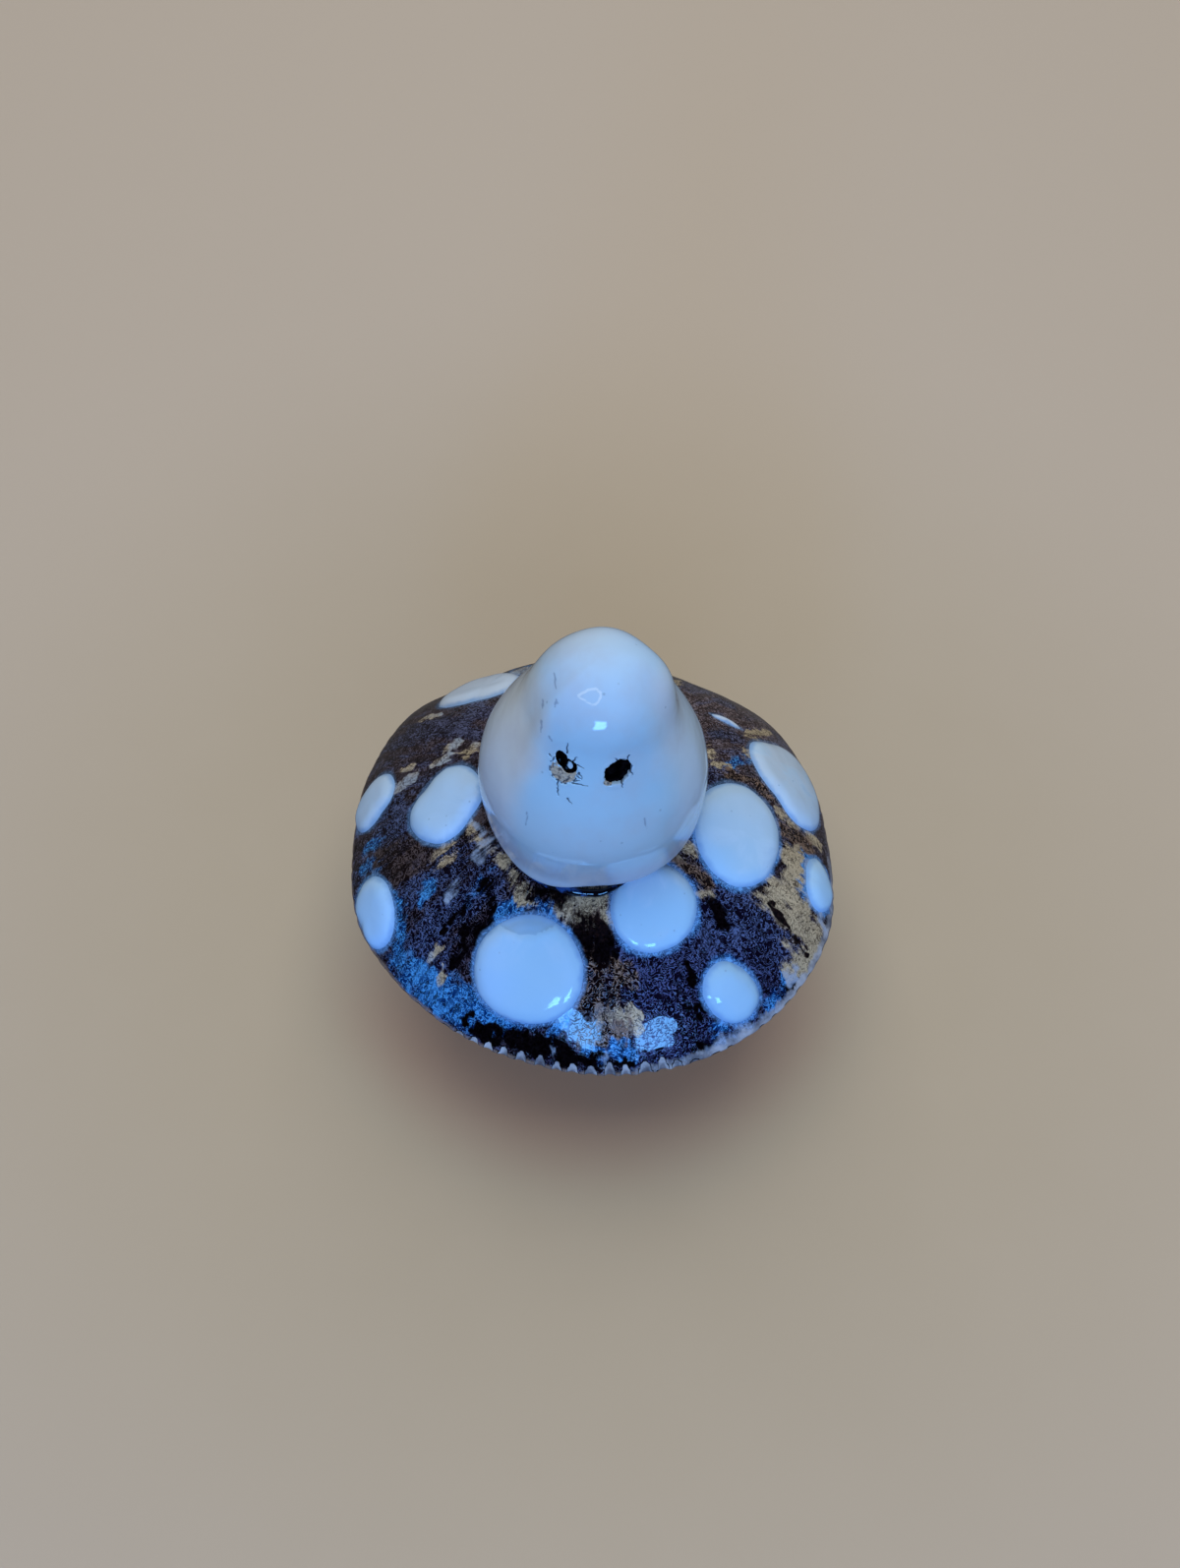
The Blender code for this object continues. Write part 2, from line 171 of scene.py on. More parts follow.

# Brush strokes of glaze on the cap, read off the photograph: pixels from x, y to x, y, and half the
# width in mm
STROKES = {
    "tan": (
        (457, 762, 466, 755, 0.6), (475, 765, 483, 760, 0.8), (442, 777, 458, 769, 0.5),
        (412, 783, 422, 779, 0.4), (405, 799, 419, 791, 0.8), (425, 736, 449, 728, 0.3),
        (478, 846, 487, 832, 0.8), (441, 869, 461, 861, 0.8), (449, 880, 461, 874, 0.6),
        (488, 850, 497, 862, 0.7), (509, 872, 520, 889, 0.8), (521, 892, 536, 915, 1.0),
        (443, 1004, 447, 992, 0.4), (436, 974, 447, 965, 0.4), (574, 914, 590, 912, 1.6),
        (594, 912, 598, 934, 1.7), (606, 914, 612, 938, 1.6), (577, 926, 590, 936, 1.1),
        (614, 1033, 630, 1033, 1.0), (638, 1023, 646, 1038, 0.8), (694, 869, 704, 862, 0.9),
        (712, 910, 722, 906, 0.7), (795, 893, 807, 886, 1.0), (799, 872, 811, 862, 0.9),
        (778, 905, 800, 922, 1.9), (790, 912, 810, 930, 2.1), (803, 938, 818, 950, 2.2),
        (812, 952, 826, 966, 1.9), (802, 988, 815, 978, 1.4), (826, 938, 836, 950, 1.0),
        (763, 748, 783, 744, 0.6), (722, 763, 728, 771, 0.7), (728, 775, 742, 779, 0.5),
        (796, 823, 808, 836, 0.9), (826, 852, 834, 858, 0.8), (760, 763, 766, 769, 0.5)),
    "azure": (
        (372, 862, 383, 857, 0.9), (370, 881, 386, 880, 0.9), (401, 908, 407, 928, 0.6),
        (407, 930, 405, 950, 0.7), (404, 955, 396, 977, 1.0), (409, 988, 430, 1005, 1.6),
        (436, 1014, 474, 1030, 2.2), (474, 1034, 502, 1042, 1.2), (497, 1044, 520, 1050, 0.9),
        (428, 917, 439, 897, 0.8), (485, 899, 498, 884, 0.5), (505, 932, 530, 921, 1.1),
        (472, 919, 489, 907, 0.7), (545, 922, 568, 926, 0.9), (560, 1055, 578, 1040, 0.6),
        (628, 1066, 640, 1070, 0.8), (597, 1071, 613, 1074, 0.6), (791, 994, 800, 982, 0.8),
        (777, 1022, 785, 1008, 1.0), (722, 1046, 732, 1035, 0.9), (719, 876, 738, 897, 0.8),
        (742, 779, 764, 771, 0.9), (812, 868, 824, 863, 0.5), (816, 874, 819, 908, 1.5)),
    "indigo": (
        (421, 748, 450, 740, 1.5), (467, 735, 485, 728, 1.2), (379, 829, 395, 820, 1.5),
        (425, 900, 460, 880, 2.2), (450, 930, 490, 900, 2.0), (392, 846, 440, 826, 1.6),
        (400, 985, 440, 955, 2.0), (735, 930, 790, 960, 3.2), (650, 975, 690, 1010, 3.5),
        (640, 985, 670, 1050, 3.5), (700, 960, 720, 975, 1.5), (760, 970, 785, 996, 2.0),
        (690, 1040, 735, 1060, 2.0), (730, 745, 752, 752, 1.0), (716, 785, 726, 795, 1.0),
        (735, 712, 745, 716, 0.8), (650, 1066, 690, 1066, 1.5)),
    "black": (
        (474, 950, 486, 948, 1.6), (462, 982, 474, 962, 0.9), (493, 902, 502, 896, 0.8),
        (497, 905, 497, 938, 0.6), (475, 917, 462, 932, 0.5), (460, 934, 447, 950, 0.4),
        (541, 907, 570, 913, 1.1), (596, 946, 612, 962, 1.9), (604, 942, 616, 950, 1.2),
        (480, 1052, 520, 1062, 0.8), (520, 1062, 575, 1076, 1.1), (575, 1079, 640, 1083, 0.5),
        (723, 923, 729, 932, 1.2), (699, 1020, 711, 1029, 1.0), (697, 978, 703, 998, 0.6),
        (795, 1012, 806, 1001, 1.0), (709, 1062, 725, 1056, 0.7), (468, 1046, 474, 1036, 0.5),
        (779, 918, 790, 936, 0.35), (790, 930, 800, 948, 0.3), (797, 946, 810, 964, 0.35),
        (500, 962, 484, 940, 0.5)),
    "white": (
        (485, 870, 497, 858, 1.0), (455, 911, 463, 901, 0.7), (484, 838, 489, 846, 0.4),
        (727, 1066, 752, 1050, 1.1), (752, 1050, 780, 1034, 0.8), (780, 1034, 815, 1000, 0.4),
        (561, 1068, 562, 1078, 0.3), (615, 1071, 615, 1084, 0.3), (820, 878, 821, 918, 0.7),
        (827, 930, 838, 975, 0.7), (795, 990, 801, 984, 0.6)),
    "rust": (
        (602, 980, 608, 1014, 2.2), (620, 984, 636, 994, 1.3), (614, 1000, 622, 1014, 1.8),
        (590, 1015, 606, 1022, 1.2), (592, 1056, 615, 1052, 0.8), (743, 788, 768, 794, 0.9),
        (768, 794, 794, 816, 0.9), (794, 842, 822, 858, 1.0), (686, 877, 706, 884, 1.0),
        (390, 872, 434, 858, 2.0), (402, 890, 430, 872, 1.6), (706, 884, 718, 897, 0.9),
        (489, 825, 499, 842, 1.0), (602, 938, 608, 926, 0.4), (619, 1044, 634, 1048, 0.8)),
}
# Strokes on the cap's back, which the photograph doesn't show: seed, how many, and half the width in mm
BACK_STROKES = {"tan": (1, 12, 0.8), "azure": (2, 6, 1.0), "indigo": (3, 7, 2.0)}
NO_STROKES = (0, 0, 0)

# Ovals on the face, in mm: middle x, y, width, length and slant towards the right
RIGHT_EYE = (3.42, -0.12, 3.2, 4.2, 32)
LEFT_HOLE = (-3.78, 1.5, 1.6, 2.7, -8)
LEFT_LOOP = (-2.82, 0.5, 2.1, 2.5, -12)
LEFT_LEDGE = (-2.72, 0.5, 0.85, 1.35, -10)
LEFT_CRATER = (-3.53, -0.2, 3.6, 4.15, 0)
RIGHT_CRUMB = (2.15, -1.75, 1.2, 1.0, 0)
# The section of an eye's glaze before it is hollowed: share of the oval, and height in mm
EYE_SECTION = ((0, -1.9), (0.6, -1.9), (0.97, -1.7), (1, 0), (0.93, 0), (0.8, 0), (0.6, 0), (0.35, 0), (0, 0))
# Cracks in the ghost's glaze round its eyes, in mm on the face: from x, y to x, y
FACE_CRACKS = (
    (-4.3, -1.9, -4.4, -3.2), (-4.4, -3.2, -4.3, -4.3), (-2.4, -2.0, -0.4, -2.2), (-3.1, -4.5, -2.5, -5.2),
    (-3.1, 2.6, -3.0, 4.3), (-2.2, 1.5, -1.9, 2.2), (-1.75, 0.9, -0.9, 0.5), (-1.6, -0.3, -1.1, -1.1),
    (-5.4, 1.7, -5.1, 1.4), (-1.8, -0.9, -1.2, -1.3), (-2.2, -1.7, -1.5, -1.5), (-3.0, -1.6, -3.9, -2.3),
    (4.8, 2.3, 4.55, 1.5), (4.55, 1.5, 5.1, 0.2), (5.0, -0.3, 5.45, -0.95), (3.95, -1.8, 4.1, -2.7),
    (3.4, 1.7, 3.1, 2.2), (3.7, 1.85, 4.5, 1.75),
)
# Fine dark lines in the glaze above and below the eyes, in mm on the face: from x, y to x, y
HAIRLINES = (
    (1.2, -11.0, 1.3, -11.1), (-8.5, -8.3, -8.8, -10.6), (7.0, -8.2, 7.4, -10.2), (-6.1, 8.4, -6.2, 7.7),
    (-6.3, 6.3, -6.4, 5.0), (-4.6, 11.6, -4.5, 10.6), (-6.4, 11.9, -5.3, 11.8), (-5.4, 4.6, -5.0, 4.0),
    (-4.4, 9.6, -4.6, 8.8),
)
# The corners of a painted highlight on the ghost's brow, the light outline of a reflection, in mm on the face
GLINT_OUTLINE_CORNERS = (
    (-1.7, 10.7), (-0.4, 11.5), (0.6, 11.7), (1.2, 11.3), (1.2, 10.8), (0.6, 10.0), (0.1, 9.95), (-0.7, 10.3))
GLINT_OUTLINE = [(*start, *end) for start, end in zip(GLINT_OUTLINE_CORNERS, GLINT_OUTLINE_CORNERS[1:] + GLINT_OUTLINE_CORNERS[:1])]
# Where the ghost was pressed in or out: bearing, height in mm, spread in degrees and in mm, and mm outwards.
# The last rows, from bearing -15 on, began as a program's fit to the ghost's outline
GHOST_LUMPS = (
    (-118, 29, 14, 6, 0.2),
    (-139, 30, 11, 7, 0.5),
    (-166, 28, 16, 8, -0.15),
    (-137, 22, 17, 8, 0.45),
    (-45, 22, 17, 8, 0.35),
    (-48, 27, 14, 8, 0.3),
    (-122, 1.8, 28, 1.4, 0.7),
    (-70, 31, 34, 3.5, 0.5),
    (-15, 27, 28, 7, 0.4),
    (0, 32, 28, 5, 0.9),
    (50, 28, 28, 5, -0.4),
    (110, 29, 34, 6, -0.25),
    (-90, 3, 34, 5, -1.5),
    (-140, 4, 22, 5, -0.3),
    (-40, 4, 22, 5, -0.4),
)


def math_node(operation, swapped=False):
    """A method that joins a value and another number by a Math node, in their order or swapped."""
    def method(value, other=0):
        first, second = (other, value) if swapped else (value, other)
        return value.finish.node("Math", {"operation": operation}, {0: first, 1: second})
    return method


class Value:
    """A number that changes over a surface. Sums written with it become Math nodes."""

    def __init__(self, finish, socket):
        self.finish = finish
        self.socket = socket

    __add__ = math_node("ADD")
    __radd__ = math_node("ADD", swapped=True)
    __sub__ = math_node("SUBTRACT")
    __rsub__ = math_node("SUBTRACT", swapped=True)
    __mul__ = math_node("MULTIPLY")
    __rmul__ = math_node("MULTIPLY", swapped=True)
    __abs__ = math_node("ABSOLUTE")
    most = math_node("MAXIMUM")

    def band(self, low, high):
        """0 below low, 1 above high, and a smooth rise between them."""
        return self.finish.node("MapRange", {"interpolation_type": "SMOOTHSTEP"},
                                {"Value": self, "From Min": low, "From Max": high})


class Finish:
    """A glaze, clay or floor: a material, and the one way to put nodes in it."""

    def __init__(self, name):
        self.material = bpy.data.materials.new(name)
        self.material.use_nodes = True
        self.tree = self.material.node_tree
        self.shader = self.tree.nodes["Principled BSDF"]
        self.place = self.node("TexCoord", {}, {}, "Object")

    def node(self, kind, settings, inputs, output=0):
        """Add a node, set it up, fill its sockets with values or links, and give one output."""
        node = self.tree.nodes.new("ShaderNode" + kind)
        for name, setting in settings.items():
            setattr(node, name, setting)
        for name, value in inputs.items():
            self.feed(node.inputs[name], value)
        return Value(self, node.outputs[output])

    def feed(self, socket, value):
        if isinstance(value, Value):
            self.tree.links.new(value.socket, socket)
        elif isinstance(value, tuple) and len(value) == 3 and socket.type == "RGBA":
            socket.default_value = (*value, 1)
        else:
            socket.default_value = value

    def mix(self, first, second, share):
        """Go from one colour to another as a share rises from 0 to 1."""
        return self.node("Mix", {"data_type": "RGBA"}, {0: share, 6: first, 7: second}, 2)

    def layered(self, colour, *coats):
        """Lay coats over a colour, the last one on top; each is a colour and its share."""
        for coat, share in coats:
            colour = self.mix(colour, coat, share)
        return colour

    def noise(self, place, scale, detail=2, roughness=0.5, distortion=0):
        return self.node("TexNoise", {}, {"Vector": place, "Scale": scale, "Detail": detail,
                                          "Roughness": roughness, "Distortion": distortion})

    def cells(self, scale):
        """The distance to the nearest of many scattered points, for specks."""
        return self.node("TexVoronoi", {}, {"Vector": self.place, "Scale": scale}, "Distance")

    def painted(self, name):
        """A field painted on the piece's own vertices."""
        return self.node("Attribute", {"attribute_name": name}, {}, "Fac")

    def vector(self, operation, first, second):
        inputs = {0: first, "Scale": second} if operation == "SCALE" else {0: first, 1: second}
        return self.node("VectorMath", {"operation": operation}, inputs)

    def axes(self):
        """The x, y and z of a place on the piece, in metres."""
        return [self.node("SeparateXYZ", {}, {"Vector": self.place}, axis) for axis in "XYZ"]

    def down_the_dome(self, around, along):
        """A place that changes fast round the cap and slowly down it, for brushed streaks."""
        flat = self.vector("MULTIPLY", self.place, (1, 1, 0))
        outward = self.vector("SCALE", self.vector("NORMALIZE", flat, (0, 0, 0)), around)
        rise = self.vector("MULTIPLY", self.place, (0, 0, along))
        return self.vector("ADD", outward, rise)

    def finished(self, colour, roughness, height=0, depth=0):
        """Set the colour, the roughness, and a small relief whose height, 0 to 1, stands for a depth."""
        sockets = {"Base Color": colour, "Roughness": roughness}
        if depth:
            sockets["Normal"] = self.node("Bump", {}, {"Height": height, "Distance": depth, "Strength": 1})
        for name, value in sockets.items():
            self.feed(self.shader.inputs[name], value)
        return self


def smooth(low, high, value):
    """0 below low, 1 above high, and a smooth rise between them."""
    share = max(0, min(1, (value - low) / (high - low)))
    return share**2 * (3 - 2 * share)


def tint(red, green, blue):
    """A glaze's colour, given on the 0 to 255 scale of a colour chart, as the renderer takes it."""
    shares = (red / 255, green / 255, blue / 255)
    return tuple(share / 12.92 if share < 0.04045 else ((share + 0.055) / 1.055)**2.4 for share in shares)


def lumps(point, size, seed):
    """Soft random lumps between about -1 and 1, a size across."""
    return noise.fractal(point / size + Vector((seed, 2 * seed, 3 * seed)), 1, 2, 2)


def round_the_circle(values, bearing):
    """A smooth closed curve through values set evenly round a circle, starting at bearing 0."""
    place = bearing / math.tau * len(values)
    first = math.floor(place)
    share = place - first
    before, start, end, after = (values[(first + step) % len(values)] for step in (-1, 0, 1, 2))
    bend = (2 * before - 5 * start + 4 * end - after) + share * (3 * start - before - 3 * end + after)
    return start + 0.5 * share * (end - before + share * bend)


def polar(point):
    """How far a point lies from the figure's axis, and at what bearing."""
    return math.hypot(point.x, point.y), math.atan2(point.y, point.x)


def ring_noise(bearing, fineness, height):
    """Noise that closes round the figure, at a bearing."""
    return noise.noise(Vector((fineness * math.cos(bearing), fineness * math.sin(bearing), height)))


def new_layers(bm, *names):
    return [bm.verts.layers.float.new(name) for name in names]


def hand_shaped(point):
    """Squeeze the figure across one diagonal, stretch it across the other, and let the rim swell."""
    reach, bearing = polar(point)
    squeeze = 1 - CAP_OUT_OF_ROUND * reach**2 / CAP_RADIUS**3 * math.sin(2 * bearing)
    swell = round_the_circle(RIM_SWELL, bearing + math.pi) * (reach / CAP_RADIUS)**3
    squeeze += swell / max(reach, MM)
    return Vector((point.x * squeeze, point.y * squeeze, point.z))


def new_mesh(name, bm):
    """Turn a finished bmesh into a mesh."""
    mesh = bpy.data.meshes.new(name)
    bm.to_mesh(mesh)
    bm.free()
    return mesh


def put(name, data):
    """Put a mesh, a lamp or a camera in the scene."""
    thing = bpy.data.objects.new(name, data)
    bpy.context.collection.objects.link(thing)
    return thing


def add_piece(name, bm, node, finish):
    """Put a finished piece in the scene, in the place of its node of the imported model."""
    bmesh.ops.recalc_face_normals(bm, faces=bm.faces)
    mesh = new_mesh(name, bm)
    mesh.shade_smooth()
    mesh.materials.append(finish.material)
    piece = put(name, mesh)
    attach(piece, "root")
    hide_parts(node)
    return piece


def push_out(vert, bearing, distance):
    """Move a vertex away from the figure's axis, level with the table."""
    vert.co.x += distance * math.cos(bearing)
    vert.co.y += distance * math.sin(bearing)


def turned(profile, steps, closed):
    """Spin (radius, height) points round the Z axis; a closed profile makes a ring."""
    bm = bmesh.new()
    along = bm.verts.layers.float.new("along")
    verts = [bm.verts.new((radius, 0, height)) for radius, height in profile]
    for number, vert in enumerate(verts):
        vert[along] = number
    pairs = list(zip(verts, verts[1:]))
    if closed:
        pairs.append((verts[-1], verts[0]))
    edges = [bm.edges.new(pair) for pair in pairs]
    bmesh.ops.spin(bm, geom=verts + edges, cent=(0, 0, 0), axis=(0, 0, 1), dvec=(0, 0, 0),
                   angle=math.tau, steps=steps, use_merge=True, use_duplicate=False)
    bmesh.ops.remove_doubles(bm, verts=bm.verts, dist=SAME_PLACE)
    return bm, along


def curve(start, start_pull, end_pull, end, points):
    """Points along a smooth curve through the XZ plane, as (radius, height)."""
    corners = [Vector((radius, 0, height)) for radius, height in (start, start_pull, end_pull, end)]
    return [(point.x, point.z) for point in interpolate_bezier(*corners, points)]


def spread(start, end, steps):
    """Even values from start to end, both included."""
    return [start + (end - start) * step / steps for step in range(steps + 1)]


def sphere_point(radius, angle):
    """(radius, height) of the point at an angle from the top of a sphere about the dome's centre."""
    return radius * math.sin(angle), DOME_CENTRE.z + radius * math.cos(angle)


def cap_fall(x, y):
    """How far the dome has dropped from the cap's top, above a point of the table."""
    return DOME_RADIUS - math.sqrt(DOME_RADIUS**2 - x**2 - y**2)


def underside_height(radius):
    return DOME_CENTRE.z + math.sqrt(UNDERSIDE_RADIUS**2 - radius**2)


def dome_lumps(direction):
    """How far the hand-shaped dome stands out or in, in one direction from its centre."""
    point = direction * DOME_RADIUS
    fade = smooth(0.2, 0.5, math.acos(min(1, direction.z)))
    return CAP_LUMPS * fade * (lumps(point, 13 * MM, 3) + 0.25 * lumps(point, 3.2 * MM, 5))


# The spots' outlines on the dome


def spot_turn(name):
    """Turns from a spot's own frame (X down the dome, Z out of it) to the figure's."""
    bearing, way_down, _ = SPOTS[name]
    return Matrix.Rotation(math.radians(bearing), 3, "Z") @ Matrix.Rotation(way_down * RIM_ANGLE, 3, "Y")


def spot_reach(name, angle):
    """How far a spot reaches from its middle at an angle, with a slightly uneven edge."""
    reaches = SPOTS[name][2]
    return (round_the_circle(reaches, angle % math.tau) + 0.1 * ring_noise(angle, 3, len(name))) * MM


# The cap


def cap_profile():
    """The cap's section, down the dome, round the rim and up the underside, and where each part starts."""
    vent_angle = math.asin(VENT_BORE / 2 / DOME_RADIUS)
    seat_angle = COARSE_TOP / DOME_RADIUS
    notch_angle = RIM_ANGLE - FINE_RIM / DOME_RADIUS
    edge_angle = RIM_ANGLE - RIM_ROUNDING / DOME_RADIUS
    angles = spread(vent_angle, seat_angle, 8) + spread(seat_angle, notch_angle, 58)[1:]
    angles += spread(notch_angle, edge_angle, 13)[1:]
    profile = [sphere_point(DOME_RADIUS, angle) for angle in angles]
    corner = (CAP_RADIUS, RIM_ABOVE_TABLE)
    sole = (CAP_RADIUS - RIM_ROUNDING, RIM_ABOVE_TABLE)
    rounding = curve(profile[-1], corner, corner, sole, 5)[1:]
    starts = {"edge": len(profile)}
    profile += rounding
    starts["sole"] = len(profile)
    inner = sphere_point(UNDERSIDE_RADIUS, UNDERSIDE_RIM_ANGLE)
    profile += [(radius, RIM_ABOVE_TABLE) for radius in spread(sole[0], inner[0], 5)[1:-1]]
    starts["gills"] = len(profile)
    gills_end = math.asin(GILL_START / UNDERSIDE_RADIUS)
    profile += [sphere_point(UNDERSIDE_RADIUS, angle) for angle in spread(UNDERSIDE_RIM_ANGLE, gills_end, 22)]
    starts["seat"] = len(profile)
    bore = STEM_BORE / 2
    profile += [(radius, underside_height(radius)) for radius in spread(GILL_START, bore, 4)[1:]]
    profile += [(radius, underside_height(radius)) for radius in spread(bore, VENT_BORE / 2, 4)[1:]]
    return profile, starts


@functools.cache
def gill_shapes():
    """Each notch's shares of full height and width: uneven, and nearly filled but for the front."""
    chance = random.Random(7)
    shapes = []
    for gill in range(GILL_COUNT):
        bearing = 360 * (gill + 0.5) / GILL_COUNT
        tall = chance.uniform(0.6, 1)
        wide = chance.uniform(0.55, 0.75)
        filled = max(smooth(282, 300, bearing), 1 - smooth(232, 252, bearing))
        tall *= 1 - 0.88 * filled
        shapes.append((tall, wide))
    return shapes


def gill_at(bearing):
    """How far across a gill a bearing lies (0 its middle, 1 its edge), and the shares of its notch."""
    wander = GILL_WANDER * ring_noise(bearing, 9, 4)
    place = (bearing / math.tau * GILL_COUNT + wander) % GILL_COUNT
    gill = int(place)
    tall, wide = gill_shapes()[gill]
    return min(1, abs(2 * (place - gill) - 1) / wide), tall


def make_cap(finish):
    """The cap: a dome with notches round its rim and gills on its hollow underside."""
    profile, starts = cap_profile()
    bm, along = turned(profile, CAP_STEPS, closed=True)
    notch_layer, under_layer = new_layers(bm, "notch", "under")
    places = []
    for vert in bm.verts:
        ring = round(vert[along])
        reach, bearing = polar(vert.co)
        across, tall = gill_at(bearing)
        arch = NOTCH_HEIGHT * tall * (1 - across**2.6)
        direction = (vert.co - DOME_CENTRE).normalized()
        places.append((vert.co.x, vert.co.y))
        if ring < starts["gills"]:
            above_rim = max(0, DOME_RADIUS * (RIM_ANGLE - math.acos(direction.z)))
            in_notch = max(0, arch - above_rim)
            cut = NOTCH_SLOPE * in_notch + NOTCH_STEP * smooth(0, 0.25 * MM, in_notch)
            vert[notch_layer] = min(1, in_notch / (3 * MM))
            vert.co += direction * (dome_lumps(direction) - cut)
            fade = smooth(starts["edge"], starts["gills"], ring)
            vert.co.z += NOTCH_ROOF * fade * tall * (1 - across**2)
            vert[under_layer] = smooth(starts["edge"] + 1, starts["sole"] + 1, ring)
        else:
            vert[under_layer] = 1
            run_in = smooth(GILL_START, GILL_START + GILL_RUN_OUT, reach)
            if ring < starts["seat"]:
                groove = 1 - across**2
                rim_fade = smooth(starts["gills"] - 1, starts["gills"] + 3, ring)
                vert.co.z += run_in * (GILL_DEPTH * rim_fade + NOTCH_ROOF * tall * (1 - rim_fade)) * groove
                vert[notch_layer] = 0.17 * groove
    for vert in bm.verts:
        vert.co = hand_shaped(vert.co)
    piece = add_piece("cap", bm, "mushroom_cap", finish)
    paint_cap(piece, np.array(places) / MM)


def on_cap(across, down):
    """The place on the cap, in mm seen from above, that a pixel of the photograph shows."""
    sight = Vector((across - PHOTO_WIDTH / 2, PHOTO_HEIGHT / 2 - down, -FOCAL_LENGTH_PIXELS))
    sight.rotate(Euler((CAMERA_TILT, 0, 0)))
    sight.normalize()
    start = CAMERA_PLACE - DOME_CENTRE
    along = start @ sight
    reach = along**2 - start @ start + DOME_RADIUS**2
    place = start - sight * (along + math.sqrt(max(0, reach)))
    return place.x / MM, place.y / MM


def stroke_field(places, strokes):
    """How strongly brush strokes cover places in the plan: 1 along a stroke, fading out past its width."""
    field = np.zeros(len(places))
    for x0, y0, x1, y1, width in strokes:
        start = np.array((x0, y0))
        run = np.array((x1 - x0, y1 - y0))
        share = np.clip((places - start) @ run / (run @ run), 0, 1)
        away = np.linalg.norm(places - start - share[:, None] * run, axis=1)
        field = np.maximum(field, np.clip(1.3 - 0.6 * away / width, 0, 1))
    return field


def back_strokes(seed, count, width):
    """Strokes for the side away from the camera, which no photograph shows."""
    chance = random.Random(seed)
    strokes = []
    for _ in range(count):
        bearing = math.radians(chance.uniform(60, 114))
        near, length = chance.uniform(17, 33), chance.uniform(1, 6)
        far = near + length * 0.7
        turn = bearing + chance.uniform(-0.12, 0.12)
        ends = (near * math.cos(bearing), near * math.sin(bearing),
                far * math.cos(turn), far * math.sin(turn))
        strokes.append((*ends, width * chance.uniform(0.6, 1.4)))
    return strokes


def paint(piece, name, field):
    """Keep a painted field on a piece's vertices, where its material can read it."""
    layer = piece.data.attributes.new(name, "FLOAT", "POINT")
    layer.data.foreach_set("value", np.asarray(field, dtype=np.float32))


def spot_distances(places):
    """How far each place in the plan lies outside the nearest spot, in mm over the dome."""
    nearest = np.full(len(places), SPOT_FAR_AWAY)
    flat = np.linalg.norm(places, axis=1) * MM
    tilts = np.arcsin(np.clip(flat / DOME_RADIUS, 0, 1))
    bearings = np.arctan2(places[:, 1], places[:, 0])
    outward = np.sin(tilts)
    directions = np.stack([outward * np.cos(bearings), outward * np.sin(bearings), np.cos(tilts)], 1)
    angles = np.linspace(0, math.tau, 181)
    for name in SPOTS:
        local = directions @ np.array(spot_turn(name))
        distance = DOME_RADIUS * np.arccos(np.clip(local[:, 2], -1, 1)) / MM
        reaches = [spot_reach(name, angle) / MM for angle in angles]
        reach = np.interp(np.arctan2(local[:, 1], local[:, 0]) % math.tau, angles, reaches)
        nearest = np.minimum(nearest, distance - reach)
    return nearest


def paint_cap(piece, places):
    """Paint the brush strokes, each wavering a little, and the halos round the spots."""
    noise.seed_set(WAVER_SEED)
    waver = [noise.noise_vector(Vector((1.1 * x, 1.1 * y, 0))).to_2d() for x, y in places]
    wavering = places + 0.9 * np.array(waver)
    for name, rows in STROKES.items():
        strokes = [(*on_cap(x0, y0), *on_cap(x1, y1), width) for x0, y0, x1, y1, width in rows]
        strokes += back_strokes(*BACK_STROKES.get(name, NO_STROKES))
        paint(piece, name, stroke_field(wavering, strokes))
    paint(piece, "halo", np.clip(1 - spot_distances(places) / HALO_WIDTH, 0, 1))


# The spots


def make_spot(name, finish):
    """A crowned disc with a soft rounded edge, turned at unit radius and bent over the dome."""
    shares = [0, 0.2, 0.4, 0.52, 0.62, 0.7, 0.76, 0.81, 0.85, 0.89, 0.92, 0.95, 0.975, 1]
    profile = [(share, 1) for share in shares] + [(0.995, 0), (0.6, 0), (0, 0)]
    bm, _ = turned(profile, SPOT_STEPS, closed=False)
    inside_layer, thin_layer = new_layers(bm, "inside", "thin")
    turn = spot_turn(name)
    seed = 11 + len(name)
    thick = min(SPOT_THICKNESS, 0.45 * min(SPOTS[name][2]) * MM)
    for vert in bm.verts:
        share, angle = polar(vert.co)
        reach = spot_reach(name, angle)
        tilt = share * reach / DOME_RADIUS
        local = Vector((math.sin(tilt) * math.cos(angle), math.sin(tilt) * math.sin(angle), math.cos(tilt)))
        direction = turn @ local
        inside = reach * (1 - share)
        thin = thin_glaze(name, local * DOME_RADIUS / MM)
        lift = -SPOT_UNDERLAP
        if vert.co.z > 0.5:
            rounding = min(SPOT_EDGE_ROUNDING, 0.9 * reach)
            turn_down = max(0, 1 - inside / rounding)
            uneven = 1 + 0.12 * lumps(direction * DOME_RADIUS, 5 * MM, seed)
            lift += (thick * uneven + SPOT_UNDERLAP) * (1 - turn_down**2.2)
            lift += 0.12 * MM * (1 - share**2) - 0.3 * MM * thin * smooth(0, 1 * MM, inside)
        vert[inside_layer] = min(1, inside / (3 * MM))
        vert[thin_layer] = thin
        vert.co = DOME_CENTRE + direction * (DOME_RADIUS + dome_lumps(direction) + lift)
        vert.co = hand_shaped(vert.co)
    add_piece(name.replace("spot", "dot"), bm, name, finish)


def thin_glaze(name, local):
    """How thin the white glaze lies over a place of a spot, in its own frame and in mm."""
    middle_x, middle_y, radius = THIN_GLAZE.get(name, NOT_THIN)
    away = math.hypot(local.x - middle_x, local.y - middle_y)
    return 1 - smooth(radius - 0.35, radius + 0.15, away)


# The ghost


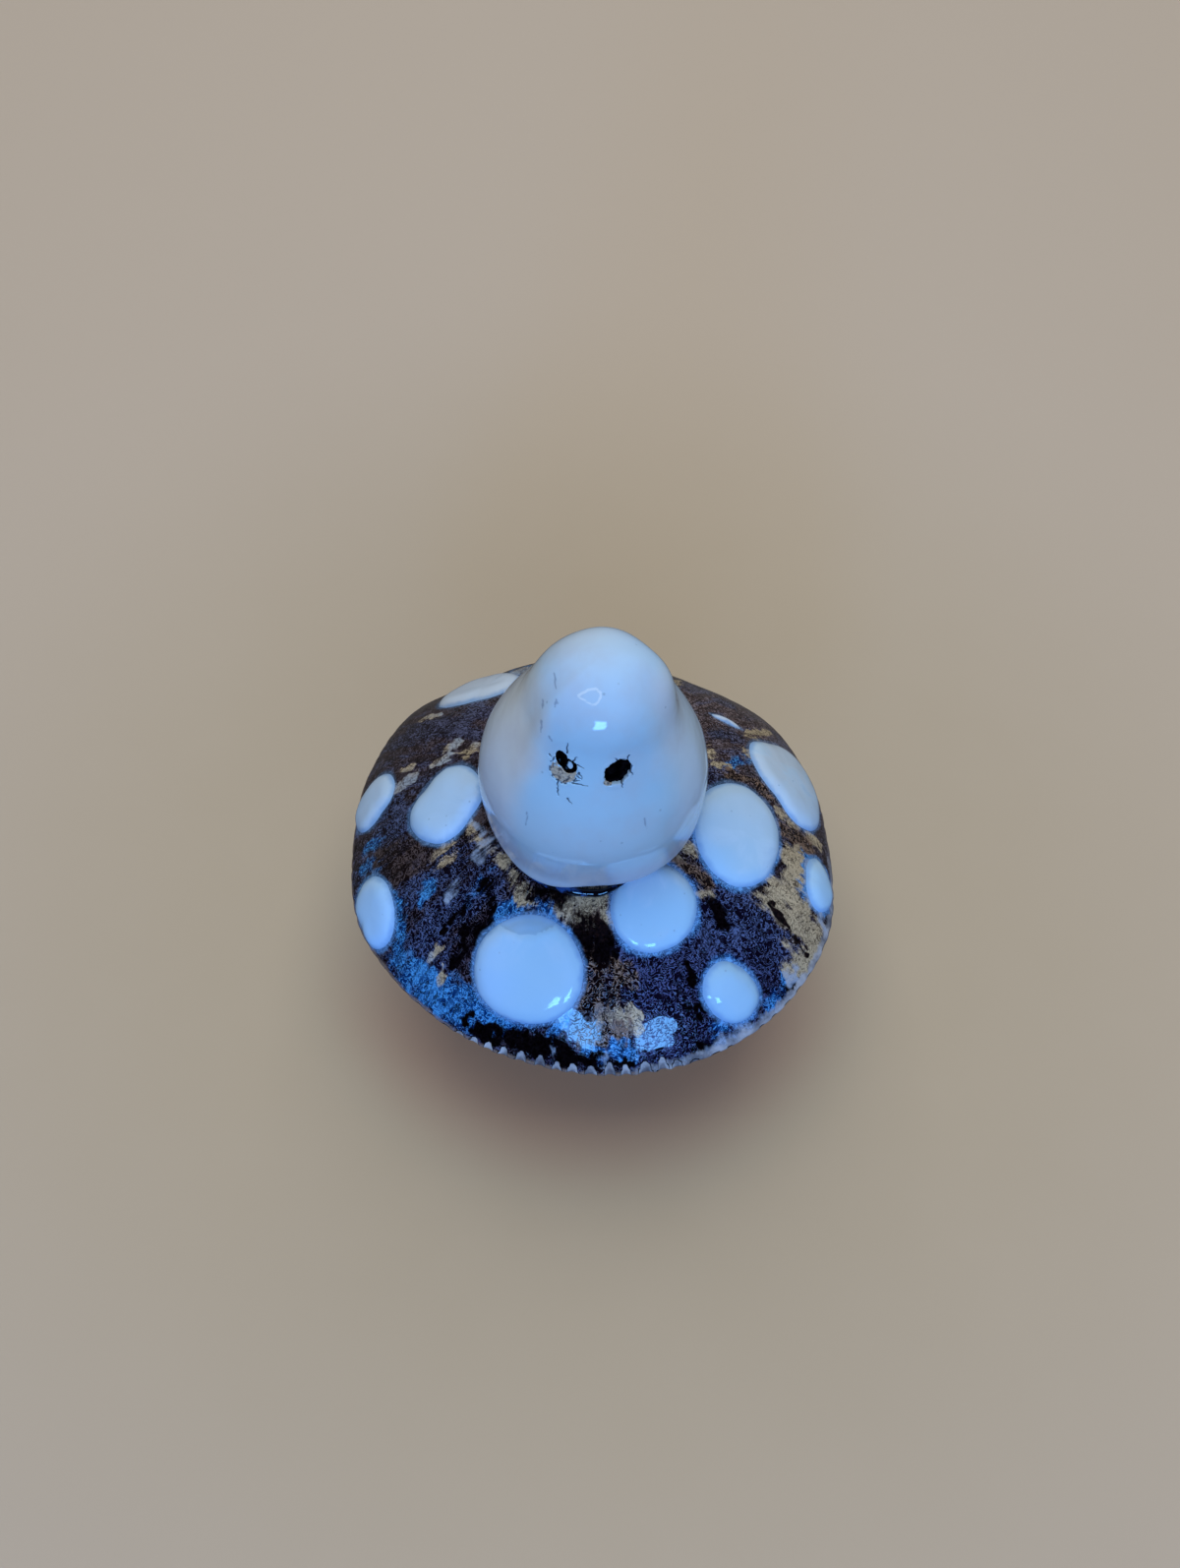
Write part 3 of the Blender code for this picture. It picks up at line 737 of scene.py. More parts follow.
def bell(inset, points):
    """The ghost's outline from foot to crown, as (radius, height over the cap); inset gives its hollow."""
    foot = (GHOST_FOOT_RADIUS - inset, SEAT_GAP)
    belly = (GHOST_BELLY_RADIUS - inset, GHOST_BELLY_HEIGHT)
    shoulder = (GHOST_SHOULDER_RADIUS - inset, GHOST_SHOULDER_HEIGHT)
    crown = (0, GHOST_HEIGHT - inset)
    skirt, flank, head = belly[1] - foot[1], shoulder[1] - belly[1], crown[1] - shoulder[1]
    foot_pull = (foot[0] + 0.75 * (belly[0] - foot[0]), foot[1] + 0.12 * skirt)
    below_belly = (belly[0], belly[1] - 0.55 * skirt)
    above_belly = (belly[0], belly[1] + 0.4 * flank)
    length = math.hypot(GHOST_SHOULDER_SLOPE, 1)
    out, up = GHOST_SHOULDER_SLOPE / length, 1 / length
    below_shoulder = (shoulder[0] + 0.4 * flank * out, shoulder[1] - 0.4 * flank * up)
    above_shoulder = (shoulder[0] - 0.55 * head * out, shoulder[1] + 0.55 * head * up)
    crown_pull = (0.58 * shoulder[0], crown[1])
    outline = curve(foot, foot_pull, below_belly, belly, points)
    outline += curve(belly, above_belly, below_shoulder, shoulder, 2 * points)[1:]
    outline += curve(shoulder, above_shoulder, crown_pull, crown, points)[1:]
    return outline


def seated(point):
    """Move a point from the bell's upright frame onto the cap: its foot follows the dome, its head leans."""
    x, y, height = point
    rise = (height - GHOST_BELLY_HEIGHT) / (GHOST_HEIGHT - GHOST_BELLY_HEIGHT)
    lean = GHOST_HEAD_LEAN * max(0, rise)**2
    x += GHOST_AXIS.x
    y += GHOST_AXIS.y
    start = BEAD_THICKNESS + 2 * SEAT_GAP
    follow = 1 - smooth(start, GHOST_BELLY_HEIGHT, height)
    return Vector((x + lean, y, CAP_TOP + height - follow * cap_fall(x, y)))


@functools.cache
def face_frame():
    """A frame on the middle of the ghost's face: X to the right, Z straight out of the face."""
    outline = bell(0, 24)
    below, above = next(pair for pair in zip(outline, outline[1:]) if pair[1][1] >= FACE_HEIGHT)
    lift = math.atan2(below[0] - above[0], above[1] - below[1])
    place = seated((0, -below[0], FACE_HEIGHT))
    place.x = 0
    return Matrix.Translation(place) @ Euler((math.pi / 2 - lift, 0, 0)).to_matrix().to_4x4()


def oval_share(x, y, oval):
    """How far out a place on the face lies from the middle of an uneven oval: 1 is its edge."""
    middle_x, middle_y, width, length, slant = oval
    turn = math.radians(slant)
    dx, dy = x - middle_x, y - middle_y
    across = dx * math.cos(turn) - dy * math.sin(turn)
    along = dx * math.sin(turn) + dy * math.cos(turn)
    share = math.hypot(across / (width / 2), along / (length / 2))
    wobble = 0.12 * noise.noise(Vector((1.6 * dx, 1.6 * dy, middle_x)))
    wobble += 0.05 * noise.noise(Vector((5 * dx, 5 * dy, 1)))
    return share * (1 + wobble)


def segment_distance(x, y, cracks, width):
    """How far a place lies from the nearest line on the face, such as a crack of the glaze, in mm on the
    face, up to 1.
    """
    nearest = 1
    for x0, y0, x1, y1 in cracks:
        if abs(x - (x0 + x1) / 2) > 2 or abs(y - (y0 + y1) / 2) > 2:
            continue
        run_x, run_y = x1 - x0, y1 - y0
        share = max(0, min(1, ((x - x0) * run_x + (y - y0) * run_y) / (run_x**2 + run_y**2)))
        bend = 0.05 * math.sin(9 * share + 5 * x0)
        away = math.hypot(x - x0 - share * run_x + bend, y - y0 - share * run_y)
        nearest = min(nearest, away + width * (share - 0.5))
    return max(0, nearest)


def ghost_lumps(bearing, height):
    """How far the hand-pressed ghost stands out from its bell, in metres."""
    total = 0
    for at, level, wide, tall, amount in GHOST_LUMPS:
        turn = (math.degrees(bearing) - at + 180) % 360 - 180
        total += amount * math.exp(-(turn / wide)**2 - ((height / MM - level) / tall)**2)
    return total * MM


def shape_face(point, face):
    """Press eyes and cracks into a point of the front; also gives its distance to a crack and its crumbs."""
    local = face.inverted() @ point
    x, y = local.x / MM, local.y / MM
    if local.z < -7 * MM or abs(x) > 10 or not -13 < y < 15:
        return point, 1, 0
    if not (1.2 < abs(x) < 5.8 and abs(y) < 4.5):
        return point, segment_distance(x, y, FACE_CRACKS, 0.06), 0
    depth, crumb = 0, 0
    eye, hole, loop = (oval_share(x, y, oval) for oval in (RIGHT_EYE, LEFT_HOLE, LEFT_LOOP))
    rim, rough = oval_share(x, y, LEFT_CRATER), noise.noise(Vector((2.6 * x, 2.6 * y, 1)))
    crater = 1 - smooth(0.9, 1.0, rim)
    if crater > 0:
        depth = 0.15 * crater * (1 + 0.9 * rough)
        crumb = crater * smooth(1.6, -1.2, y + 0.3 * x + 1 + rough)
    right_crumb = 1 - smooth(0.8, 1.1, oval_share(x, y, RIGHT_CRUMB))
    depth = max(depth, 0.2 * right_crumb * (1 + rough))
    crumb = max(crumb, right_crumb)
    for share, deep in ((eye, 1.5), (hole, 1.6), (loop, 0.8)):
        depth = max(depth, deep * (1 - smooth(0.88, 1.0, share)))
    ledge = 1 - smooth(0.8, 1.1, oval_share(x, y, LEFT_LEDGE))
    if hole > 1.05:
        depth = depth * (1 - ledge) + 0.3 * ledge
        crumb = max(crumb, 0.4 * ledge)
    crack = segment_distance(x, y, FACE_CRACKS, 0.08)
    if hole > 1.1 and loop > 1.1:
        crack = min(crack, abs(rim - 1) * 1.9 + 0.12 * smooth(-0.1, 0.4, rough))
    depth += 0.12 * (1 - smooth(0.04, 0.18, crack))
    lip = smooth(1.5, 1.1, eye) + smooth(1.3, 1.05, rim)
    if depth < 0.02:
        depth -= 0.06 * min(1, lip)
    return point - face.col[2].to_3d() * depth * MM, crack, crumb


def make_ghost(finish):
    """The ghost: a hollow, hand-pressed bell with its face in the front."""
    outside = bell(0, 50)
    inside = bell(GHOST_WALL, 8)[::-1]
    bm, along = turned(inside + outside, GHOST_STEPS, closed=False)
    face = face_frame()
    refine_face(bm, along, len(inside))
    crack_layer, crumb_layer, glint_outline_layer, hair_layer = new_layers(bm, "crack", "crumb", "drip", "hairline")
    for vert in bm.verts:
        outer = vert[along] > len(inside) - 0.5
        if outer:
            reach, bearing = polar(vert.co)
            stand_out = ghost_lumps(bearing, vert.co.z) + 0.16 * MM * lumps(vert.co, 9 * MM, 2)
            stand_out += 0.03 * MM * lumps(vert.co, 2.5 * MM, 4)
            push_out(vert, bearing, stand_out * smooth(0, 3 * MM, reach))
        point = seated(vert.co)
        vert[crack_layer] = vert[glint_outline_layer] = vert[hair_layer] = 1
        if outer and vert.co.y < 0:
            local = face.inverted() @ point / MM
            vert[glint_outline_layer] = segment_distance(local.x, local.y, GLINT_OUTLINE, 0)
            vert[hair_layer] = segment_distance(local.x, local.y, HAIRLINES, 0.05)
            point, vert[crack_layer], vert[crumb_layer] = shape_face(point, face)
        vert.co = hand_shaped(point)
    add_piece("ghost", bm, "ghost_body", finish)


def refine_face(bm, along, first_outside):
    """Cut the edges round the eyes in three, because cracks and crumbs are small."""
    edges = []
    for edge in bm.edges:
        middle = (edge.verts[0].co + edge.verts[1].co) / 2
        near = abs(middle.x) < 6.2 * MM and middle.y < 0 and 19.5 * MM < middle.z < 29 * MM
        if near and min(vert[along] for vert in edge.verts) > first_outside:
            edges.append(edge)
    bmesh.ops.subdivide_edges(bm, edges=edges, cuts=2, use_grid_fill=True)


def make_eye(name, ovals, top, finish):
    """Black glaze lying in an eye's hole, with a hollow, shining surface."""
    bm = bmesh.new()
    bulge = GHOST_SHOULDER_RADIUS / MM * 1.15
    for middle_x, middle_y, width, length, slant in ovals:
        part, _ = turned(EYE_SECTION, EYE_STEPS, closed=False)
        turn = math.radians(slant)
        for vert in part.verts:
            share = math.hypot(vert.co.x, vert.co.y)
            across, along = vert.co.x * width / 2, vert.co.y * length / 2
            x = middle_x + across * math.cos(turn) + along * math.sin(turn)
            y = middle_y - across * math.sin(turn) + along * math.cos(turn)
            z = top - 0.35 * (1 - share**2) if vert.co.z > -0.5 else vert.co.z
            fall = bulge - math.sqrt(bulge**2 - x**2)
            vert.co = hand_shaped(face_frame() @ (Vector((x, y, z - fall)) * MM))
        mesh = new_mesh("part", part)
        bm.from_mesh(mesh)
        bpy.data.meshes.remove(mesh)
    add_piece(name + "_glaze", bm, name, finish)


def bead_ring_radius():
    """The smallest ring that lies on the cap and clears the ghost's flank by the seat gap."""
    clearance = BEAD_THICKNESS / 2 + SEAT_GAP
    reaches = []
    for radius, height in bell(0, 6):
        across = clearance**2 - (height - clearance)**2
        if across >= 0:
            reaches.append(radius + math.sqrt(across))
    return max(reaches)


def make_bead(finish):
    """The roll of thick glaze that ran together round the ghost's foot, thickest in front."""
    ring, half = bead_ring_radius(), BEAD_THICKNESS / 2
    profile = []
    for angle in spread(0, math.tau, 14)[:-1]:
        profile.append((ring + half * math.cos(angle), SEAT_GAP + half + half * math.sin(angle)))
    bm, _ = turned(profile, GHOST_STEPS, closed=True)
    for vert in bm.verts:
        _, bearing = polar(vert.co)
        middle = Vector((ring * math.cos(bearing), ring * math.sin(bearing), SEAT_GAP + half))
        front = smooth(-0.6, 1, -math.sin(bearing))
        left_front = smooth(0.7, 1, math.cos(bearing + math.radians(125)))
        to_right = math.cos(bearing + math.radians(50))
        size = 0.4 + 0.25 * front + 0.2 * left_front + 0.14 * lumps(middle, 2.6 * MM, 6)
        size -= 0.3 * smooth(0.85, 1, to_right)
        vert.co = middle + (vert.co - middle) * min(1.15, size)
        push_out(vert, bearing, -(0.6 + 0.75 * front + 1.25 * smooth(0.8, 1, to_right)) * MM)
        vert.co.z -= 0.3 * MM
        vert.co = hand_shaped(seated(vert.co))
    add_piece("foot_bead", bm, "ghost_foot_bead", finish)


# The stem


def make_stem(finish):
    """The hollow stem, lumpy outside and smoother in its bore, with a bare foot."""
    height = underside_height(STEM_TOP_RADIUS) - SEAT_GAP
    middle = height / 2
    pull = middle / 2
    foot = (STEM_FOOT_RADIUS, STEM_FOOT_EDGE)
    waist = (STEM_WAIST_RADIUS, middle)
    top = (STEM_TOP_RADIUS, height)
    bore = STEM_BORE / 2
    sole = (STEM_FOOT_RADIUS - STEM_FOOT_EDGE, 0)
    profile = [(radius, 0) for radius in spread(bore + STEM_BORE_EDGE, sole[0], 6)]
    profile += curve(sole, (STEM_FOOT_RADIUS, 0), (STEM_FOOT_RADIUS, 0), foot, 5)[1:]
    profile += curve(foot, (STEM_FOOT_RADIUS, pull / 2), (STEM_WAIST_RADIUS, middle - pull), waist, 26)[1:]
    profile += curve(waist, (STEM_WAIST_RADIUS, middle + pull), (STEM_TOP_RADIUS, height - pull), top, 26)[1:]
    for radius in spread(STEM_TOP_RADIUS, bore, 6)[1:]:
        profile.append((radius, underside_height(radius) - SEAT_GAP))
    profile += [(bore, level) for level in spread(profile[-1][1], STEM_BORE_EDGE, 30)[1:]]
    bm, _ = turned(profile, STEM_STEPS, closed=True)
    for vert in bm.verts:
        reach, bearing = polar(vert.co)
        outer = smooth(bore + 0.5 * MM, bore + 3 * MM, reach)
        free = smooth(0, 5 * MM, vert.co.z) * (1 - smooth(height - 5 * MM, height, vert.co.z))
        facets = 0.12 * ring_noise(bearing, 3, vert.co.z / (9 * MM))
        swell = (0.35 * lumps(vert.co, 9 * MM, 8) + facets) * MM * free * outer
        swell -= 0.15 * MM * abs(lumps(vert.co, 5 * MM, 9)) * (1 - outer) * free
        push_out(vert, bearing, swell)
        vert.co = hand_shaped(vert.co)
    add_piece("stalk", bm, "stem", finish)


# The glazes


def cap_glaze():
    """Brown-black glaze broken with blue, with tan where it ran thin and azure round the spots."""
    glaze = Finish("cap_glaze")
    place, mix, painted = glaze.place, glaze.mix, glaze.painted
    x, y, z = glaze.axes()
    broad = glaze.noise(place, 110, 3)
    patchy = glaze.noise(place, 420, 4, 0.6)
    wander = abs(glaze.noise(place, 1100, 2, 0.5, 1.6) * 2 - 1)
    worms = wander.band(0.14, 0.02)
    creases = abs(glaze.noise(place, 900, 1, 0.5, 1.6) * 2 - 1).band(0.1, 0.02)
    streaks = glaze.noise(glaze.down_the_dome(20, 150), 1, 4, 0.65, 0.5)
    long_streaks = glaze.noise(glaze.down_the_dome(9, 45), 1, 4, 0.6, 0.3)
    scratches = abs(streaks * 2 - 1).band(0.06, 0.0)
    ragged = (patchy - 0.5) * 1.8 + (streaks - 0.5) * 2 + (broad - 0.5) * 1.4
    halo = painted("halo")
    front = y.band(6 * MM, -12 * MM)
    east = x.band(-6 * MM, 16 * MM)

    # Each colour breaks up over its strokes
    breaking = 1 + ragged * 1.3
    tan = (painted("tan") * (breaking + (streaks - 0.5) * 1.8)).band(0.26, 0.8)
    azure = painted("azure").most(halo * front * 0.8)
    azure = (azure * (1 + (patchy + broad - 1) * 2.6)).band(0.25, 1.0)
    indigo = (painted("indigo") * 0.8 + 0.35 + ragged * 0.9 + (long_streaks - 0.5) * 2).band(0.15, 0.85)
    black = (painted("black") * breaking).band(0.35, 0.85)
    white = (painted("white") * breaking).band(0.3, 1.1)
    rust = (painted("rust") * breaking).band(0.3, 0.9)
    brown = (y * 30 + ragged * 0.4 + 0.45).band(0, 1)
    ashen = broad.band(0.47, 0.62) * x.band(0, -9 * MM)
    violet = mix(tint(70, 90, 136), tint(50, 58, 104), y.band(-18 * MM, -30 * MM))

    # The glaze's dark ground and its light threads, in the same coats
    dark = glaze.layered(
        mix(tint(5, 2, 6), tint(24, 15, 22), (ragged + 0.5).band(0.2, 0.9)),
        (mix(tint(30, 20, 24), tint(54, 42, 44), east), brown),
        (tint(8, 6, 26), indigo * 0.85),
        (tint(7, 40, 92), azure),
        (tint(50, 37, 34), tan),
        (tint(14, 5, 6), rust),
        (tint(1, 0, 1), black))
    light = glaze.layered(
        mix(tint(60, 54, 68), tint(82, 86, 108), patchy.band(0.4, 0.65)),
        (mix(tint(74, 66, 74), tint(108, 100, 106), east), brown),
        (violet, indigo * (0.88 - 0.42 * brown)),
        (tint(64, 138, 204), azure),
        (mix(tint(164, 154, 130), tint(138, 154, 174), ashen), tan),
        (mix(tint(72, 64, 68), tint(110, 93, 82), x.band(-10 * MM, 2 * MM)), rust),
        (tint(10, 7, 12), black))
    lit = worms * 1.1 + (patchy - 0.5) * 1.1 + (streaks - 0.5) * 1.1 + (broad - 0.5) * 1.2 - 0.01
    lit = (lit + 0.12 * azure + 0.55 * tan - 0.25 * black).band(0, 1)

    # What lies over both: halos, runs of white, the rim, its notches and the underside
    close = (halo + (patchy - 0.5) * 0.8).band(0.6, 1.0) * (0.5 + 0.5 * worms)
    edge = (z + (patchy - 0.5) * MM).band(RIM_ABOVE_TABLE + 0.8 * MM, RIM_ABOVE_TABLE + 0.3 * MM)
    lip = (x + (streaks - 0.5) * 14 * MM).band(5 * MM, 9 * MM) * front
    lip = lip * (z + (streaks - 0.5) * 3 * MM).band(RIM_ABOVE_TABLE + 1.5 * MM, RIM_ABOVE_TABLE + 0.9 * MM)
    rim_grey = mix(tint(84, 90, 102), tint(150, 158, 170), (patchy + broad - 0.5).band(0.3, 0.7))
    notch = painted("notch")
    hollow = (notch * 5 + (patchy - 0.5) * 0.8).band(0.35, 0.95)
    colour = glaze.layered(
        mix(dark, light, lit),
        (tint(4, 2, 5), scratches * 0.85 * (1 - tan * 0.7)),
        (tint(34, 22, 22), creases * tan * 0.8),
        (tint(100, 150, 206), close * (0.35 + 0.4 * front)),
        (tint(130, 152, 182), white * (0.6 + 0.3 * worms)),
        (tint(118, 106, 100), edge * 0.7),
        (rim_grey, lip * 0.8),
        (tint(3, 1, 3), notch.band(0.003, 0.025)),
        (rim_grey, notch.band(0.06, 0.11)),
        # Painted shade: darker deep in each notch, where it runs in under the cap
        (tint(70, 64, 70), notch.band(0.4, 0.62) * 0.6),
        (mix((0.46, 0.44, 0.4), (0.12, 0.09, 0.07), hollow), painted("under")))
    relief = (wander.band(0.0, 0.1) + patchy * 0.2) * (1 - 0.9 * black)
    return glaze.finished(colour, 0.015 + 0.02 * patchy + 0.15 * tan, relief, 0.014 * MM)


def spot_glaze():
    """White glaze with painted light: bluest at the front where the blue window light falls and creamier
    towards the back; its thin edge pales into blue.
    """
    glaze = Finish("spot_glaze")
    x, y, _ = glaze.axes()
    patchy = glaze.noise(glaze.place, 420, 4, 0.6)
    soft = glaze.noise(glaze.place, 90, 2)
    cloudy = glaze.noise(glaze.place, 190, 4, 0.6, 0.6)
    # Painted light: the blue of the front window light is laid into the colour; the front-most spots are
    # toned down where the lamps fall strongest, and the left side made bluer where they fall weakest
    back = (y * 20 + (soft - 0.5) * 0.5 + 0.5).band(0, 1)
    thin = (glaze.painted("thin") + (patchy - 0.5) * 0.3).band(0.35, 0.6)
    edge = (glaze.painted("inside") + (patchy - 0.5) * 0.4).band(0.36, 0.04)
    colour = glaze.layered(
        glaze.mix(tint(134, 181, 220), tint(172, 189, 208), back),
        (tint(160, 194, 226), (soft + cloudy - 0.5).band(0.45, 0.75) * 0.7),
        (tint(128, 164, 202), cloudy.band(0.58, 0.72) * 0.3),
        (tint(106, 148, 192), thin * 0.75),
        (tint(133, 176, 211), y.band(-19 * MM, -27 * MM) * 0.9),
        (tint(142, 186, 236), x.band(-8 * MM, -18 * MM) * (1 - back) * 0.6),
        (tint(98, 142, 196), edge * 0.75),
        (tint(92, 112, 150), glaze.cells(420).band(0.09, 0.03) * 0.4))
    return glaze.finished(colour, 0.05 + 0.06 * patchy, patchy * 0.4 + cloudy + soft, 0.05 * MM)


def ghost_glaze():
    """White glaze with painted light: bluer in front where the blue window light falls, lighter at the crown,
    greyer on the flanks and back; with dark cracks, partly painted shade, and sandy crumbs at the eyes.
    """
    glaze = Finish("ghost_glaze")
    mix, painted = glaze.mix, glaze.painted
    x, y, z = glaze.axes()
    height = (z - CAP_TOP) * (1 / GHOST_HEIGHT)
    soft = glaze.noise(glaze.place, 70, 3)
    patchy = glaze.noise(glaze.place, 380, 4, 0.6)
    gritty = glaze.noise(glaze.place, 2000, 3, 0.6)
    # Painted light: the front is bluer where the blue window light falls on it and lighter at the crown; the
    # flanks and back are greyer, mirroring the room, and the right flank bluer with a painted sheen
    side = abs(x * (1 / MM) - 0.9) + 3.85 * height.band(0.25, 0.85)
    back = (y * (1 / (20 * MM)) + 0.45).band(0, 1)
    flank = (side + (soft - 0.5) * 6).band(9.4, 13.8).most(back)
    front = mix(tint(147, 182, 213), tint(142, 188, 227), height.band(0.3, 0.65))
    front = mix(front, tint(152, 191, 232), height.band(0.78, 0.98))
    sides_in_room_light = mix(tint(158, 184, 216), tint(182, 196, 206), height.band(0.2, 0.75))
    sides_in_room_light = mix(sides_in_room_light, tint(168, 202, 240), x.band(-2 * MM, 8 * MM) * 0.8)
    # Painted reflection: a pink-lavender tint low on the ghost, where the warm table is mirrored
    table_reflection = height.band(0.26, 0.05) * (soft - 0.1)
    crumb = painted("crumb")
    sand = mix(tint(84, 86, 92), tint(150, 152, 148), gritty.band(0.36, 0.5))
    colour = glaze.layered(
        mix(front, sides_in_room_light, flank),
        (tint(152, 156, 178), (soft + patchy * 0.3).band(0.6, 0.85) * 0.25),
        (tint(158, 150, 170), table_reflection * 0.6),
        (tint(92, 112, 146), glaze.cells(260).band(0.07, 0.02) * 0.4),
        (sand, (crumb + (patchy - 0.5) * 0.6).band(0.35, 0.75)),
        # Painted highlight: the light outline of a reflection on the brow
        (tint(200, 224, 246), painted("drip").band(0.2, 0.07) * 0.45),
        (tint(74, 96, 140), painted("hairline").band(0.2, 0.05) * 0.5),
        # The cracks' dark lines are partly the cracks and partly painted shade in their grooves
        (tint(26, 34, 54), painted("crack").band(0.12, 0.05) * 0.85))
    relief = soft * 1.6 + patchy * 0.4 + crumb * gritty * 2
    return glaze.finished(colour, 0.05 + 0.05 * patchy + 0.4 * crumb, relief, 0.05 * MM)


def eye_glaze():
    """Black glaze, so deep in its holes that it hardly shines."""
    glaze = Finish("eye_glaze")
    glaze.shader.inputs["Specular IOR Level"].default_value = 0.05
    patchy = glaze.noise(glaze.place, 900, 3, 0.6)
    colour = glaze.mix(tint(1, 1, 2), tint(10, 10, 16), patchy.band(0.45, 0.7))
    return glaze.finished(colour, 0.06 + 0.2 * patchy, patchy, 0.05 * MM)


def bead_glaze():
    """Thick blue-black glaze that pooled at the ghost's foot."""
    glaze = Finish("bead_glaze")
    patchy = glaze.noise(glaze.place, 500, 3, 0.6)
    colour = glaze.mix(tint(6, 5, 12), tint(34, 70, 130), patchy.band(0.5, 0.66))
    return glaze.finished(colour, 0.04 + 0.08 * patchy, patchy, 0.05 * MM)


def stem_glaze():
    """Cream glaze with brown specks and runs, stopping short of a bare clay foot."""
    glaze = Finish("stem_glaze")
    _, _, z = glaze.axes()
    soft = glaze.noise(glaze.place, 120, 3)
    patchy = glaze.noise(glaze.place, 700, 4, 0.6)
    streaks = glaze.noise(glaze.down_the_dome(12, 40), 1, 3)
    bare = (z + (soft - 0.5) * 1.6 * MM).band(2.2 * MM, 1.7 * MM)
    clay = glaze.mix((0.36, 0.27, 0.2), (0.5, 0.41, 0.32), patchy.band(0.35, 0.65))
    colour = glaze.layered(
        glaze.mix((0.5, 0.47, 0.4), (0.62, 0.62, 0.6), (soft + (streaks - 0.5)).band(0.35, 0.65)),
        ((0.14, 0.08, 0.05), glaze.cells(480).band(0.13, 0.05) * 0.6),
        ((0.2, 0.15, 0.12), (streaks + z * 12).band(0.85, 1.05) * 0.5),
        (clay, bare))
    return glaze.finished(colour, 0.16 + 0.1 * patchy + 0.55 * bare, patchy + soft, 0.06 * MM)


# The studio


def make_floor():
    """A pale beige table top with painted shade: a little darker and warmer near the figurine, warmest in
    front of its foot.
    """
    paper = Finish("floor_paper")
    away = paper.node("VectorMath", {"operation": "LENGTH"}, {0: paper.place}, "Value")
    _, y, _ = paper.axes()
    # Painted shade: the table darkens and warms towards the figurine, most under the front of its cap
    colour = paper.layered(
        tint(162, 152, 134),
        (tint(170, 161, 149), away.band(50 * MM, 160 * MM)),
        (tint(168, 141, 122), away.band(50 * MM, 32 * MM) * y.band(5 * MM, -25 * MM)),
        (tint(173, 164, 151), paper.noise(paper.place, 60, 3) * 0.2))
    bm = bmesh.new()
    bmesh.ops.create_circle(bm, cap_ends=True, segments=128, radius=FLOOR_RADIUS)
    floor = put("floor", new_mesh("floor", bm))
    floor.data.materials.append(paper.finished(colour, 0.75).material)
    floor.visible_glossy = False


def add_lamp(name, azimuth, elevation, distance, size, power, colour, in_glaze=True):
    """An oblong lamp that looks at the figurine; azimuth 0 is in front of it and 90 to its right."""
    lamp = bpy.data.lights.new(name, "AREA")
    lamp.shape = "RECTANGLE"
    lamp.size, lamp.size_y = size
    lamp.energy = power
    lamp.color = colour
    holder = put(name, lamp)
    turn, lift = math.radians(azimuth), math.radians(elevation)
    away = Vector((math.sin(turn) * math.cos(lift), -math.cos(turn) * math.cos(lift), math.sin(lift)))
    target = Vector((0, 0, CAP_TOP))
    holder.location = target + away * distance
    holder.rotation_euler = away.to_track_quat("Z", "Y").to_euler()
    holder.visible_glossy = in_glaze
    return holder


def light_only(lamp, pieces):
    """Keep a lamp's light to some of the pieces."""
    lit = bpy.data.collections.new(lamp.name + "_lights")
    for piece in pieces:
        lit.objects.link(piece)
    lamp.light_linking.receiver_collection = lit


